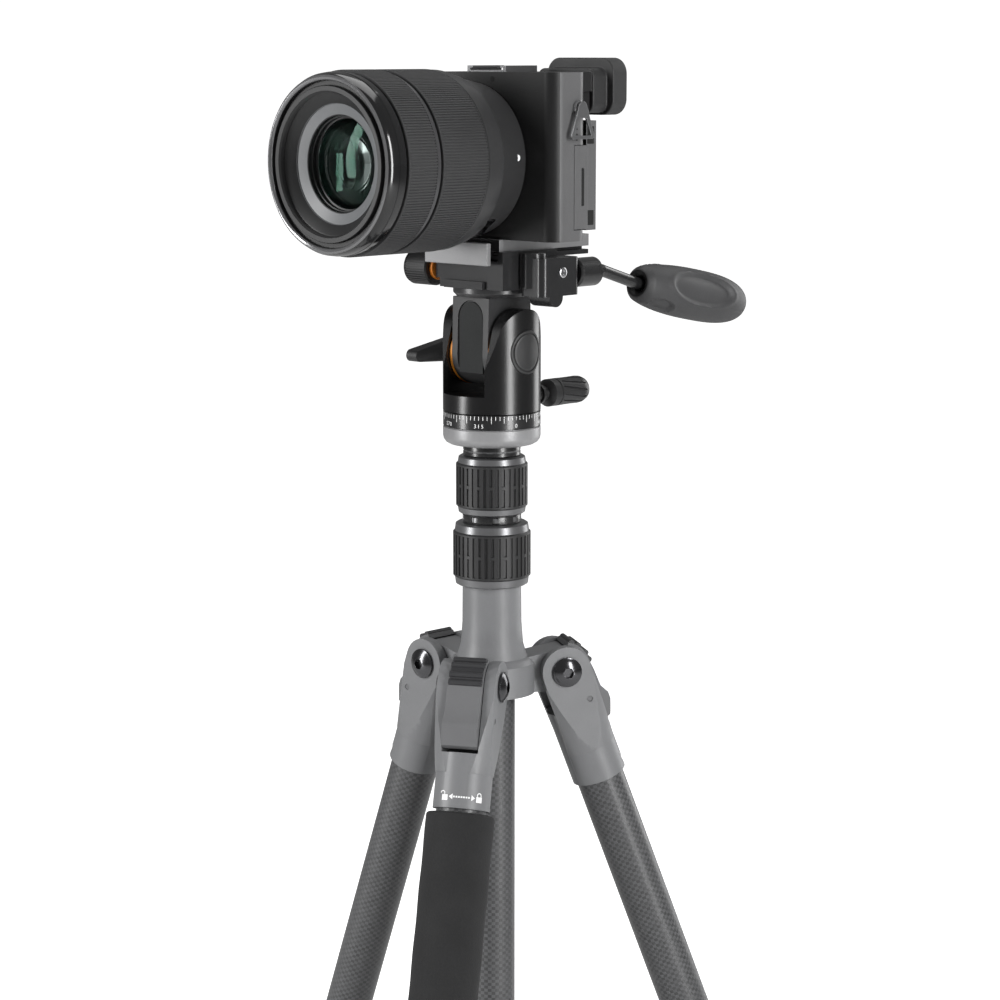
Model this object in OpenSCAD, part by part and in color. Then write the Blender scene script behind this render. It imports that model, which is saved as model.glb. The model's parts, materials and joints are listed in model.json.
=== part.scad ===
// Mirrorless camera with a standard zoom lens, on a pan-and-tilt head and a travel tripod.
// Origin: on the floor, under the column axis. +Z up, the lens looks along -Y.

/* [Stance] */
// Height of the leg hinges above the floor
hinge_z = 405; // [403:0.5:407]
// Distance from the column axis to a leg hinge
hinge_r = 29.5; // [29:0.5:31]
// Lean of a leg from upright, at its first stop
leg_lean = 20.5; // [19:0.5:22]
// Turn of the front leg about the column
front_leg_turn = -61.5; // [-63:0.5:-60]

/* [Legs] */
// Outer radius of the upper leg tube
upper_r = 10.25; // [10:0.05:10.3]
// Outer radius of the middle leg tube
middle_r = 8.4; // [8.2:0.05:8.5]
// Outer radius of the lower leg tube
lower_r = 6.7; // [6.5:0.05:6.8]
// Wall of every leg tube
leg_wall = 1.4; // [1.2:0.05:1.5]
// Distance from the hinge to the end of the upper tube
upper_end = 352; // [350:1:354]
// Length of the foam grip on the front leg
foam_length = 210; // [150:5:220]

/* [Column] */
// Outer radius of the outer column tube
column_r = 9.75; // [9.5:0.05:9.8]
// Outer radius of the inner column tube
inner_column_r = 8; // [7.8:0.05:8.05]
// Height of the column's lower end
column_bottom = 130; // [120:1:140]

/* [Head] */
// Radius of the head's base and fork
head_r = 20.35; // [20.1:0.05:20.5]
// Height of the tilt axis
tilt_z = 539.5; // [539:0.1:540]
// Height of the fork's underside, just above the base ring
pan_z = 516.3; // [516.1:0.1:516.5]
// Half of the slot between the fork's arms
fork_gap = 11.8; // [11.7:0.05:11.9]

/* [Plate and clamp] */
// Underside of the camera, which is the top of the plate
plate_top = 588; // [587.5:0.1:588.5]
// Half of the plate's width
plate_half = 17.8; // [17.5:0.1:18]
// Front and back ends of the plate
plate_ends = [-14, 40]; // [-20:0.5:45]
// Half of the plate's neck between slab and dovetail
neck_half = 14; // [13.8:0.1:14.2]

/* [Handle] */
// Start of the handle's socket: sideways, back and up
handle_at = [28.5, 18, 573.5]; // [10:0.5:580]
// Radius of the handle's rod
rod_r = 2.5; // [2:0.1:2.6]
// Largest radius of the rubber grip
grip_r = 11; // [10:0.1:11.5]
// Length of the rubber grip
grip_length = 70; // [60:1:72]

/* [Camera] */
// Left, front and bottom of the camera's body, seen from above with the lens towards -Y
body_min = [-74, -12, 588]; // [-80:0.5:590]
// Right, back and top of the camera's body
body_max = [46, 8.5, 655]; // [0:0.5:660]
// Height of the seam under the top cover
seam_z = 647.3; // [646:0.1:648]
// Radius of the body's upright edges
edge_r = 6; // [4:0.5:6]

/* [Lens] */
// Height of the lens axis
lens_z = 620; // [619.9:0.1:620.4]
// Outer radius of the rings
ring_r = 36.25; // [36.1:0.05:36.4]
// Radius of the filter thread
filter_r = 27.5; // [26:0.5:27.5]
// Rim of the front barrel
rim_y = -92; // [-93:0.5:-91.5]

/* [Fits] */
// Radial clearance of a shaft that turns or slides in its bore
running = 0.06; // [0.03:0.01:0.09]
// Gap between parts that move past each other
gap = 0.35; // [0.3:0.05:0.4]

/* [Hidden] */
$fn = 64;
LEG_TURNS = [for (i = [0:2]) front_leg_turn + 120 * i];
foot_r = 11.5;
foot_flat = 0.8;
foot_at = (hinge_z - foot_r + foot_flat) / cos(leg_lean);
lug_half = 7.4;
cheek_in = 7.8;
cheek_out = 12.3;
cheek_r = 10.6;
pivot_r = 2.6;
tab_pin = [5.3, -14.9];
tab_half = 7.45;
collar_end = 51.5;
foam_at = 53;
cone_end = 37;
column_top = 470;
inner_bottom = 244;
head_bottom = 502;
disc_r = 13.1;
block_half = 10.3;
clamp_bottom = 567.5;
flange_top = plate_top - 6.4;
knob_y = -3;
knob_z = 573.7;
zoom_y = [-64, -38.6];
focus_y = [-82.4, -66.6];
sleeve_r = 33.3;
bore_r = 32.6;
barrel_r = 32.2;
door_y = 8.3;
lug_y = 1.5;
lug_z = 641;
bend_at = [18, 40];
rod_slope = 17;
grip_slope = 11;
mouth = [0, bend_at[1], -tan(rod_slope) * (bend_at[1] - bend_at[0])];
grip_top = 649;
mount_r = 30.6;
shutter_at = [-60, -20];
mode_dial_at = [-36, 0];
control_dial_at = [-58, 2];
release_at = [-34, 603];
pan_knob_z = pan_z + 3.6;
jaw_y = [-21.3, -18.9];

// ---------- Shapes used by several parts ----------

// Points of an arc about a centre, from one angle to another
function arc(c, r, a0, a1, n = 16) =
    [for (i = [0:n]) c + r * [cos(a0 + (a1 - a0) * i / n), sin(a0 + (a1 - a0) * i / n)]];

// Ring or tube standing on z0, up to z1
module tube(r_out, r_in, z0, z1) {
    translate([0, 0, z0]) difference() {
        cylinder(r = r_out, h = z1 - z0);
        translate([0, 0, -1]) cylinder(r = r_in, h = z1 - z0 + 2);
    }
}

// Flat rectangle with round corners, its low corner at the origin
module round_rect(w, h, r) {
    translate([r, 0]) square([w - 2 * r, h]);
    translate([0, r]) square([w, h - 2 * r]);
    for (x = [r, w - r], y = [r, h - r]) translate([x, y]) circle(r);
}

// Block with round upright edges between two corners
module round_block(low, high, r) {
    translate(low) linear_extrude(high[2] - low[2])
        round_rect(high[0] - low[0], high[1] - low[1], r);
}

// Cylinder along X from x0 to x1, at y and z
module rod_x(r, x0, x1, y, z) translate([x0, y, z]) rotate([0, 90, 0]) cylinder(r = r, h = x1 - x0);

// Cylinder along Y from y0 to y1, at x and z
module rod_y(r, y0, y1, x, z) translate([x, y1, z]) rotate([90, 0, 0]) cylinder(r = r, h = y1 - y0);

// Outline in X-Z, drawn as [x, z], given a thickness of 2 * half along Y
module slab_y(half) translate([0, half, 0]) rotate([90, 0, 0]) linear_extrude(2 * half) children();

// Outline in Y-Z, drawn as [y, z], from x0 to x1
module slab_x(x0, x1) translate([x0, 0, 0]) rotate([90, 0, 90]) linear_extrude(x1 - x0) children();

// Places a leg's part: its own frame has the hinge at the origin and the leg along -Z
module on_leg(i) {
    rotate([0, 0, LEG_TURNS[i]]) translate([hinge_r, 0, hinge_z])
        rotate([0, -leg_lean, 0]) children();
}

// Places a spider lug's part: hinge at the origin, upright, +X away from the column
module on_spider(i) {
    rotate([0, 0, LEG_TURNS[i]]) translate([hinge_r, 0, hinge_z]) children();
}

// Places a lens part: the lens axis is Z, and +Z in its own frame is +Y
module on_lens() translate([0, 0, lens_z]) rotate([-90, 0, 0]) children();

// ---------- Tripod ----------

// Casting that the legs hang from, with the neck that the column slides in
module spider() {
    color("#6d6e70") difference() {
        union() {
            rotate_extrude() polygon(concat(
                [[0, 396], [18.2, 396], [18.2, 409], [16.6, 410.6], [14.8, 411.5]],
                [[13.2, 417], [12.5, 426], [12.35, 442.2], [0, 442.2]]));
            for (i = [0:2]) on_spider(i) {
                slab_y(lug_half) polygon(concat(arc([0, 0], 9.2, -100, 90),
                    [[-16, 6.2], [-16, -9]]));
            }
        }
        translate([0, 0, 390]) cylinder(r = column_r + running, h = 60);
        for (i = [0:2]) on_spider(i)
            rotate([90, 0, 0]) translate([0, 0, -20]) cylinder(r = pivot_r + 0.02, h = 40);
    }
}

// Shoulder bolts through the castings and the spider's lugs, with button heads at both ends
module leg_pivot_bolts() {
    color("#1d1e20") for (i = [0:2]) on_spider(i) rotate([90, 0, 0]) {
        translate([0, 0, -cheek_out - 0.4]) cylinder(r = pivot_r, h = 2 * cheek_out + 0.8);
        for (s = [-1, 1]) mirror([0, 0, s < 0 ? 1 : 0]) translate([0, 0, cheek_out + gap])
            difference() {
                rotate_extrude() polygon(concat([[0, 0], [6.3, 0], [6.3, 0.7]],
                    arc([0, -7.3], 10.1, 53, 85, 8), [[0, 2.8]]));
                translate([0, 0, 1]) cylinder(r = 2.4, h = 4, $fn = 6);
            }
    }
}

// Yoke at the top of a leg, with the socket that the tube is glued in
module leg_casting(i) {
    color("#6d6e70") on_leg(i) difference() {
        union() {
            intersection() {
                union() {
                    for (s = [-1, 1]) translate([0, s * (cheek_in + cheek_out) / 2, 0])
                        slab_y((cheek_out - cheek_in) / 2) polygon(concat(
                            arc([0, 0], cheek_r, 0, 180), [[-10.6, -30], [10.8, -30]]));
                    translate([-10.6, -cheek_out, -cone_end])
                        cube([21.4, 2 * cheek_out, cone_end - 17.5]);
                }
                union() {
                    translate([0, 0, -cone_end]) cylinder(r1 = 12, r2 = 16.5, h = cone_end - 4);
                    translate([0, 0, -4]) cylinder(r = 16.5, h = 20);
                }
            }
            translate([0, 0, -collar_end]) cylinder(r = 11.75, h = collar_end - 17.5);
        }
        translate([0, 0, -collar_end - 1]) cylinder(r = upper_r, h = collar_end - 30);
        rotate([90, 0, 0]) translate([0, 0, -20]) cylinder(r = pivot_r + running, h = 40);
        translate([tab_pin[0], 0, tab_pin[1]]) rotate([90, 0, 0])
            translate([0, 0, -20]) cylinder(r = 1.2 + running, h = 40);
        translate([0.2, -cheek_in, -29]) cube([20, 2 * cheek_in, 16]);
    }
}

// Rocker that stops the leg at its angle, with its pin
module angle_lock(i) {
    color("#4a4b4d") on_leg(i) {
        difference() {
            slab_y(tab_half) polygon(concat([[3.4, -12.5], [8, -3], [9.75, 0]],
                arc([0, 0], 9.75, 12, 64, 8), arc([0, 0], 11.7, 60, 0, 8),
                [[12.3, -5], [12.6, -13], [14.7, -17], [14.7, -20], [13.1, -24.5],
                    [12.3, -26.5], [9.6, -27.5], [9, -18], [3.4, -18]]));
            rotate([90, 0, 0]) translate([0, 0, -20]) cylinder(r = 9.6, h = 40);
        }
        translate([tab_pin[0], 0, tab_pin[1]]) rotate([90, 0, 0])
            translate([0, 0, -cheek_out + 0.2]) cylinder(r = 1.2, h = 2 * cheek_out - 0.4);
    }
}

// Carbon tube that is glued in the leg's casting
module upper_tube(i) {
    color("#3a3b3d") on_leg(i) tube(upper_r, upper_r - leg_wall, -upper_end, -31.2);
}

// Twist lock on the end of a tube: it turns on the tube and clamps the next one
module leg_lock(i, tube_r, next_r, end, length) {
    color("#232425") on_leg(i) difference() {
        union() {
            translate([0, 0, -end - 3]) cylinder(r1 = tube_r + 1.6, r2 = tube_r + 2.6, h = 3);
            translate([0, 0, -end]) cylinder(r = tube_r + 2.6, h = length - 2);
            translate([0, 0, -end + length - 2])
                cylinder(r1 = tube_r + 2.6, r2 = tube_r + 1.4, h = 2);
        }
        translate([0, 0, -end - 0.4]) cylinder(r = tube_r + running, h = length + 4);
        translate([0, 0, -end - 6]) cylinder(r = next_r + gap, h = 20);
    }
}

// Middle leg section, with the guide sleeve at its top that runs in the upper tube
module middle_tube(i) {
    color("#3a3b3d") on_leg(i) tube(middle_r, middle_r - leg_wall, -upper_end - 32, -62);
}

// Lower leg section with its plug and its rubber foot
module lower_tube(i) {
    color("#2c2d2e") on_leg(i) tube(lower_r, lower_r - leg_wall, -foot_at + 4, -75);
    color("#1c1c1d") difference() {
        on_leg(i) {
            translate([0, 0, -foot_at]) sphere(foot_r);
            translate([0, 0, -foot_at]) cylinder(r = 9.4, h = 13);
        }
        translate([-300, -300, -20]) cube([600, 600, 20]);
        on_leg(i) translate([0, 0, -foot_at + 4]) cylinder(r = lower_r, h = 20);
    }
}

// Foam sleeve on the front leg's upper tube
module foam_grip() {
    color("#161617") on_leg(0) tube(14.2, upper_r, -foam_at - foam_length, -foam_at);
}

// ---------- Centre column ----------

// Knurled ring that locks a column tube, standing on z0
module column_lock(r, r_in, z0, z1, trim) {
    color("#202122") difference() {
        union() {
            translate([0, 0, z0 + trim]) cylinder(r = r, h = z1 - z0 - 2 * trim);
            translate([0, 0, z0]) cylinder(r1 = r - 1.6, r2 = r - 0.7, h = trim);
            translate([0, 0, z1 - trim]) cylinder(r1 = r - 0.7, r2 = r - 1.6, h = trim);
        }
        translate([0, 0, z0 - 1]) cylinder(r = r_in, h = z1 - z0 + 2);
    }
}

module column_lower_lock() column_lock(16.3, column_r + gap, 442.5, 468.8, 3.4);

// Outer column tube, with the stop collar at its top and the plug at its lower end
module column_tube() {
    color("#3a3b3d") {
        tube(column_r, inner_column_r + gap, column_bottom + 6, column_top);
        tube(12, inner_column_r + gap, 469.2, 472.4);
        translate([0, 0, column_bottom]) cylinder(r = column_r, h = 6);
    }
}

module column_upper_lock() column_lock(15, inner_column_r + gap, 472.8, 497, 2.8);

// Inner column tube, with the plate and the stud that the head is screwed on
module column_inner_tube() {
    color("#3a3b3d") {
        tube(inner_column_r, inner_column_r - 1.5, inner_bottom, 497.4);
        translate([0, 0, 497.4]) cylinder(r = 11.8, h = head_bottom - 497.4);
        translate([0, 0, head_bottom]) cylinder(r = 4.76, h = 6.5);
    }
}

// ---------- Head ----------

// Base ring, screwed on the column's stud, with the degree scale and the pan spindle
module head_base() {
    color("#8a8b8d") difference() {
        rotate_extrude() polygon([[0, head_bottom], [16.4, head_bottom], [19.6, 503.6],
            [head_r, 505.4], [head_r, 509.3], [head_r - 0.4, 509.3], [head_r - 0.4, 509.9],
            [head_r, 509.9], [head_r, 516], [8, 516], [8, 519.5], [0, 519.5]]);
        translate([0, 0, head_bottom - 1]) cylinder(r = 4.8, h = 8.2);
    }
}

// Outline of a fork arm in Y-Z
function arm_outline() = concat([[head_r, pan_z], [head_r - 1, pan_z + 9]],
    arc([0, 546.4], 12.7, 12, 168, 24), [[1 - head_r, pan_z + 9], [-head_r, pan_z]]);

// Fork that turns on the base and holds the tilt shaft between its arms
module fork() {
    color("#1a1a1b") difference() {
        intersection() {
            translate([0, 0, pan_z]) cylinder(r = head_r, h = 60);
            union() {
                translate([0, 0, pan_z]) cylinder(r = head_r, h = 7.2);
                for (s = [-1, 1]) mirror([s < 0 ? 1 : 0, 0, 0])
                    slab_x(fork_gap, 30) polygon(arm_outline());
            }
        }
        translate([0, 0, pan_z - 1]) cylinder(r = 8 + running, h = 4.6);
        rod_x(2.5 + running, -30, 30, 0, tilt_z);
        rod_y(2 + running, 4, 30, 0, pan_knob_z);
        rod_x(8.2, 18.6, 30, 0, tilt_z + 2);
    }
    color("#1a1a1b") difference() {
        rod_y(3.5, 18, 27.5, 0, pan_knob_z);
        translate([0, 0, pan_z - 1]) cylinder(r = 19, h = 30);
        rod_y(2 + running, 4, 30, 0, pan_knob_z);
        translate([-10, 10, pan_z - 10]) cube([20, 20, 10]);
    }
}

// Oval cap over the tilt shaft's end
module fork_cap() {
    color("#222223") rod_x(8.1, 18.65, 19.6, 0, tilt_z + 2);
}

// Tilting block between the arms, with the flange that the clamp is screwed on
module tilt_block() {
    color("#1f1f20") difference() {
        union() {
            slab_x(-block_half, block_half) polygon(concat(
                arc([0, tilt_z], disc_r, 180, 360, 32), [[disc_r - 0.6, 563.6], [0.6 - disc_r, 563.6]]));
            translate([0, 0, 563.6]) cylinder(r1 = 14.4, r2 = 16, h = 1.6);
            translate([0, 0, 565.2]) cylinder(r = 16, h = clamp_bottom - 565.2);
        }
        rod_x(2.5 + running, -30, 30, 0, tilt_z);
        front_recess();
    }
}

// Recess in the block's front, round at the top
module front_recess() {
    translate([0, -disc_r + 1.4, 0]) rotate([90, 0, 0]) linear_extrude(5) union() {
        translate([0, 555]) circle(7.2);
        translate([-7.2, 532]) square([14.4, 23]);
    }
}

// Friction discs on both sides of the block
module friction_discs() {
    color("#e08a1e") for (s = [-1, 1]) mirror([s < 0 ? 1 : 0, 0, 0]) difference() {
        rod_x(disc_r + 0.1, block_half, block_half + 1.1, 0, tilt_z);
        rod_x(2.5 + running, 0, 30, 0, tilt_z);
    }
}

// Wing knob of the tilt lock, with its shaft through fork and block
module tilt_knob() {
    color("#1b1b1c") {
        rod_x(2.5, -22, 18.2, 0, tilt_z);
        rod_x(5, -24.5, -head_r - gap, 0, tilt_z);
        hull() {
            rod_x(5, -27, -23.5, 0, tilt_z);
            rod_x(2.6, -37, -31, -11, tilt_z - 2.6);
        }
        hull() {
            rod_x(4.6, -27, -23.5, 0, tilt_z);
            rod_x(3, -32, -27, 10, tilt_z + 4.6);
        }
    }
}

// Knob of the pan lock
module pan_knob() {
    color("#1d1d1e") translate([0, 27.9, pan_knob_z]) rotate([-90, 0, 0]) {
        translate([0, 0, -19.2]) cylinder(r = 2, h = 20);
        rotate_extrude() polygon([[0, 0], [4.2, 0], [4.2, 1.2], [3, 1.6], [3, 4.2], [5, 5.6],
            [5.9, 9], [5.9, 24.5], [4.9, 27.6], [0, 28.6]]);
    }
}

// ---------- Clamp and plate ----------

// Clamp on the block, with its fixed jaw and the bracket for the pan handle
module clamp_body() {
    color("#2a2a2b") difference() {
        union() {
            translate([0, 0, clamp_bottom]) linear_extrude(3.2) union() {
                translate([-15, -15.3]) square([36, 32]);
                translate([-11, -17]) square([22, 4]);
            }
            translate([-15, -15.3, clamp_bottom + 3]) cube([36, 32, 579.2 - clamp_bottom - 3]);
            translate([plate_half + gap, -15.3, 579]) cube([3, 32, 583.2 - 579]);
            translate([neck_half + gap, -15.3, flange_top + gap])
                cube([7, 32, 583.2 - 0.6 - flange_top - gap]);
            translate([24, -1, clamp_bottom + 0.8]) cylinder(r = 5.4, h = 14);
            round_block([20, -5, 565], [33.5, 17.6, 580.5], 3);
            rod_x(4, 22, 33.5, 3, 564.6);
        }
        rod_x(1.6 + running, -40, 12, knob_y, knob_z);
        translate([-40, -8.5, 569.8]) cube([26.6, 17.5, 20]);
        rod_y(2.5 + running, 5, 30, handle_at[0], handle_at[2]);
    }
}

// Jaw that the clamp's knob draws in, with its lip over the plate's dovetail
module clamp_jaw() {
    color("#2a2a2b") difference() {
        union() {
            round_block([-26.6, -7.8, 570.2], [-14, 8.2, 579.2], 3);
            translate([-21.2, -15.3, 579.6]) cube([21.2 - plate_half - gap - 0.3, 32, 3.6]);
            translate([-21.2, -7.8, 578]) cube([3, 16, 4]);
            translate([-21.2, -15.3, flange_top + gap])
                cube([21.2 - neck_half - gap - 0.3, 32, 583.2 - 0.6 - flange_top - gap]);
        }
        rod_x(1.6 + running, -40, 12, knob_y, knob_z);
    }
}

// Ribbed knob that tightens the clamp, with its orange washer and its screw
module clamp_knob() {
    color("#2b2c2d") {
        rod_x(1.6, -28, 8, knob_y, knob_z);
        rod_x(7.5, -41.6, -28.6, knob_y, knob_z);
        translate([-41.6, knob_y, knob_z]) rotate([0, -90, 0])
            cylinder(r1 = 7.5, r2 = 6.4, h = 1.4);
    }
    color("#d9741c") rod_x(5, -28.6, -27, knob_y, knob_z);
}

// Plate under the camera, with its dovetail
module quick_release_plate() {
    color("#8f9092") difference() {
        union() {
            translate([-plate_half, plate_ends[0], plate_top - 5])
                cube([2 * plate_half, plate_ends[1] - plate_ends[0], 5]);
            translate([-neck_half, plate_ends[0], flange_top - 1])
                cube([2 * neck_half, plate_ends[1] - plate_ends[0], 6]);
            translate([-plate_half + 0.2, plate_ends[0], flange_top - 1.9])
                cube([2 * plate_half - 0.4, plate_ends[1] - plate_ends[0], 1.9]);
        }
        translate([0, 2, plate_top - 10]) cylinder(r = 3.4, h = 12);
        translate([0, 2, plate_top - 10]) cylinder(r = 6.6, h = 6.5);
        for (x = [-9, 9]) rod_y(1.45, -15, -3, x, flange_top + 0.7);
    }
}

// Screw that holds the camera on the plate
module camera_screw() {
    color("#9a9b9d") translate([0, 2, 0]) {
        translate([0, 0, plate_top - 3.8]) cylinder(r = 3.17, h = 9.3);
        translate([0, 0, flange_top - 1.7]) cylinder(r = 6.2, h = 4.4);
    }
}

// Spring-loaded jaw at the plate's front, on two guide rods
module phone_jaw() {
    color("#8f9092") {
        translate([-plate_half, jaw_y[0], 577.7])
            cube([2 * plate_half, jaw_y[1] - jaw_y[0], 586.9 - 577.7]);
        for (x = [-9, 9]) rod_y(1.4, jaw_y[1] - 0.5, -3.4, x, flange_top + 0.7);
    }
}

// ---------- Pan handle ----------

// Socket, bent rod and the stud that holds them to the bracket
module handle_rod() {
    color("#1e1e1f") translate(handle_at) {
        rotate([-90, 0, 0]) rotate_extrude() polygon([[0, -11], [2.5, -11], [2.5, 0], [5.2, 0],
            [6, 1], [6, 12.5], [4.8, 13.6], [rod_r, 13.6], [rod_r, bend_at[0]], [0, bend_at[0]]]);
        translate([0, bend_at[0], 0]) sphere(rod_r + 0.05);
        translate([0, bend_at[0], 0]) rotate([-90 - rod_slope, 0, 0])
            cylinder(r = rod_r, h = (bend_at[1] - bend_at[0]) / cos(rod_slope));
        translate(mouth) sphere(rod_r + 0.05);
        translate(mouth) rotate([-90 - grip_slope, 0, 0]) cylinder(r = rod_r, h = 50);
    }
}

// Rubber grip on the rod, oval along its length
module handle_grip() {
    color("#2c2d2e") translate(handle_at + mouth) rotate([-90 - grip_slope, 0, 0]) rotate_extrude()
        polygon(concat([[0, 51], [rod_r + 0.1, 51], [rod_r + 0.1, 0.6], [4.2, 0.6], [6.2, 3.5], [9.6, 12]],
            arc([grip_r - 26, 30], 26, -22, 24, 8),
            arc([1.6, grip_length - 8.2], 8.2, 10, 80, 8), [[0, grip_length]]));
}

// ---------- Camera ----------

// Body shell with its hand grip, mount ring, strap lugs and the recesses of its doors
module camera_body() {
    color("#18181a") difference() {
        union() {
            round_block(body_min, [body_max[0], body_max[1], seam_z], edge_r);
            round_block([-74, -31, 588.6], [-46, 0, seam_z], 9);
            on_lens() translate([0, 0, -12.6]) cylinder(r = mount_r, h = 3);
            for (x = [[body_min[0] - 1.6, body_min[0] + 1], [body_max[0] - 1, body_max[0] + 1.6]])
                rod_x(2.6, x[0], x[1], lug_y, lug_z);
            translate([4, 8, 638.2]) cube([36, 7.2, 9]);
        }
        translate([body_max[0] - 1.6, -0.4, 592.4]) cube([3, 9.4, 34]);
        translate([-71.4, -25, 587]) cube([24.8, 25.4, 2.6]);
        translate([0, 2, 587]) cylinder(r = 3.3, h = 8);
        translate([shutter_at[0], shutter_at[1], 640]) cylinder(r = 5.6 + gap, h = 20);
        rod_y(4 + running, -15, -7, release_at[0], release_at[1]);
        for (x = [-80, 43]) rod_x(1.5, x, x + 10, lug_y, lug_z);
    }
}

// Top cover, low on the grip side, with the accessory shoe and the viewfinder's housing
module top_cover() {
    color("#1b1b1d") difference() {
        union() {
            round_block([-20, -12, seam_z], body_max, edge_r);
            round_block([-74, -12, seam_z], [0, 8.5, 650], edge_r);
            round_block([4, -6, seam_z], [42, 16.6, body_max[2]], 3);
            round_block([-74, -31, seam_z], [-46, 0, grip_top], 9);
            translate([-6, -8, 654]) cube([21.6, 18.5, 1.6]);
            for (x = [-6, 14]) translate([x, -8, 655.2]) cube([1.6, 18.5, 2]);
            for (x = [-6, 12.5]) translate([x, -8, 656.6]) cube([3.1, 18.5, 0.9]);
        }
        on_lens() translate([0, 0, -13]) cylinder(r = mount_r + 0.1, h = 5);
        translate([mode_dial_at[0], mode_dial_at[1], 649]) cylinder(r = 2 + running, h = 4);
        translate([control_dial_at[0], control_dial_at[1], 649])
            cylinder(r = 2 + running, h = 4);
        translate([shutter_at[0], shutter_at[1], 640]) cylinder(r = 4.6 + gap, h = 20);
        translate([shutter_at[0], shutter_at[1], grip_top - 0.2]) cylinder(r = 8, h = 4);
    }
}

// Tilting rear screen
module screen() {
    color("#141416") difference() {
        translate([-29, 9, 592]) cube([73, 6, 43.8]);
        translate([-26, 14.6, 596]) cube([66, 2, 36]);
    }
    color("#2a3036") translate([-26, 14.2, 596]) cube([66, 0.6, 36]);
}

// Rubber eyecup around the viewfinder's window
module eyecup() {
    color("#1f1f20") difference() {
        union() {
            translate([0, 25.2, 0]) rotate([90, 0, 0]) linear_extrude(8.4)
                translate([9.6, 638.6]) round_rect(31, 17.8, 4);
            translate([0, 33.8, 0]) rotate([90, 0, 0]) linear_extrude(8.7)
                translate([7.6, 637.6]) round_rect(36.4, 23, 6.5);
        }
        translate([0, 40, 0]) rotate([90, 0, 0]) linear_extrude(14)
            translate([14.5, 641.5]) round_rect(22.5, 15, 4);
    }
}

module shutter_button() {
    color("#3a3a3c") translate([shutter_at[0], shutter_at[1], grip_top - 7]) {
        cylinder(r = 3.6, h = 8);
        translate([0, 0, 7.2]) cylinder(r1 = 4.4, r2 = 4, h = 2);
    }
}

// Ring lever around the shutter button
module power_lever() {
    color("#26262a") translate([shutter_at[0], shutter_at[1], grip_top + 0.2])
        difference() {
        union() {
            cylinder(r = 7.4, h = 1.9);
            translate([-1.5, -10, 0]) cube([3, 6, 1.9]);
        }
        translate([0, 0, -1]) cylinder(r = 4.4 + gap, h = 4);
    }
}

// Dial with its spindle, standing on the top cover
module dial(at, r, h) {
    color("#232326") translate([at[0], at[1], 650]) {
        translate([0, 0, -1]) cylinder(r = 2, h = 2);
        translate([0, 0, 0.3]) cylinder(r = r, h = h - 0.8);
        translate([0, 0, h - 0.5]) cylinder(r1 = r, r2 = r - 0.5, h = 0.5);
    }
}

module mode_dial() dial(mode_dial_at, 8.2, 4.9);

module control_dial() dial(control_dial_at, 6.4, 4);

// Cover of the sockets on the camera's side, with its finger slot
module terminal_door() {
    color("#2a2a2c") difference() {
        translate([body_max[0] - 1.3, 0, 592.7]) cube([1.25, door_y - 0.3, 33.4]);
        translate([body_max[0] - 0.5, 4.3, 602]) cube([1, 1.4, 15]);
    }
}

// Door under the hand grip
module battery_door() {
    color("#1f1f21") translate([-71, -24.6, 588.05]) cube([24, 24.6, 1.2]);
}

module lens_release_button() {
    color("#2a2a2c") rod_y(4, -13.8, -9.2, release_at[0], release_at[1]);
}

// Triangle rings that hang from the strap lugs
module strap_rings() {
    color("#b4b5b7") for (s = [-1, 1]) {
        x = s > 0 ? body_max[0] + 2.6 : body_min[0] - 2.6;
        difference() {
            slab_x(x - 0.5, x + 0.5) polygon(concat(arc([lug_y, lug_z], 2.6, 30, 150),
                arc([lug_y - 5.4, lug_z - 11], 1.4, 180, 250, 6),
                arc([lug_y + 5.4, lug_z - 11], 1.4, 290, 360, 6)));
            slab_x(x - 1, x + 1) polygon([[lug_y - 4.9, lug_z - 10.9], [lug_y + 4.9, lug_z - 10.9],
                [lug_y + 2, lug_z - 4], [lug_y - 2, lug_z - 4]]);
        }
        rod_x(1.42, min(x, x - 2.9 * s), max(x, x - 2.9 * s), lug_y, lug_z);
    }
}

// ---------- Lens ----------

// Fixed barrel: mount end, collar and the sleeve that carries both rings
module lens_barrel() {
    color("#242527") on_lens() difference() {
        rotate_extrude() polygon([[0, -12.7], [30.9, -12.7], [31, -14], [34, -28.5], [34.7, -28.8],
            [34.7, -33.5], [36, -33.8], [36, -38.3], [sleeve_r, -38.3], [sleeve_r, -64.3],
            [35.4, -64.3], [35.4, -66.3], [sleeve_r, -66.3], [sleeve_r, -82.2], [0, -82.2]]);
        translate([0, 0, -83]) cylinder(r = bore_r, h = 58);
        translate([0, 0, -30]) cylinder(r = 20, h = 20);
    }
}

// Ribbed ring between two depths of the lens
module lens_ring(y) {
    color("#2b2c2e") on_lens() tube(ring_r, sleeve_r + running, y[0], y[1]);
}

// Front barrel with its rim, filter thread and retaining rings; it slides out with the zoom
module front_barrel() {
    color("#17181a") on_lens() difference() {
        rotate_extrude() polygon([[0, -82.75], [35.2, -82.75], [35.6, -84], [35.6, -90.6],
            [34.2, rim_y], [0, rim_y]]);
        translate([0, 0, rim_y - 1]) cylinder(r = filter_r, h = 4);
        translate([0, 0, rim_y + 2.9]) cylinder(r1 = 27, r2 = 24.2, h = 4);
        translate([0, 0, rim_y - 1]) cylinder(r = 18.8, h = 30);
    }
    color("#17181a") on_lens() tube(barrel_r, 30.4, -83, -48);
}

// Front lens group, domed towards the object
module lens_glass() {
    color("#2f7d5a") on_lens() rotate_extrude() polygon(concat(
        [[0, -78.5], [18.7, -78.5]], arc([0, -53], 34, -56.6, -90, 12)));
}

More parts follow.
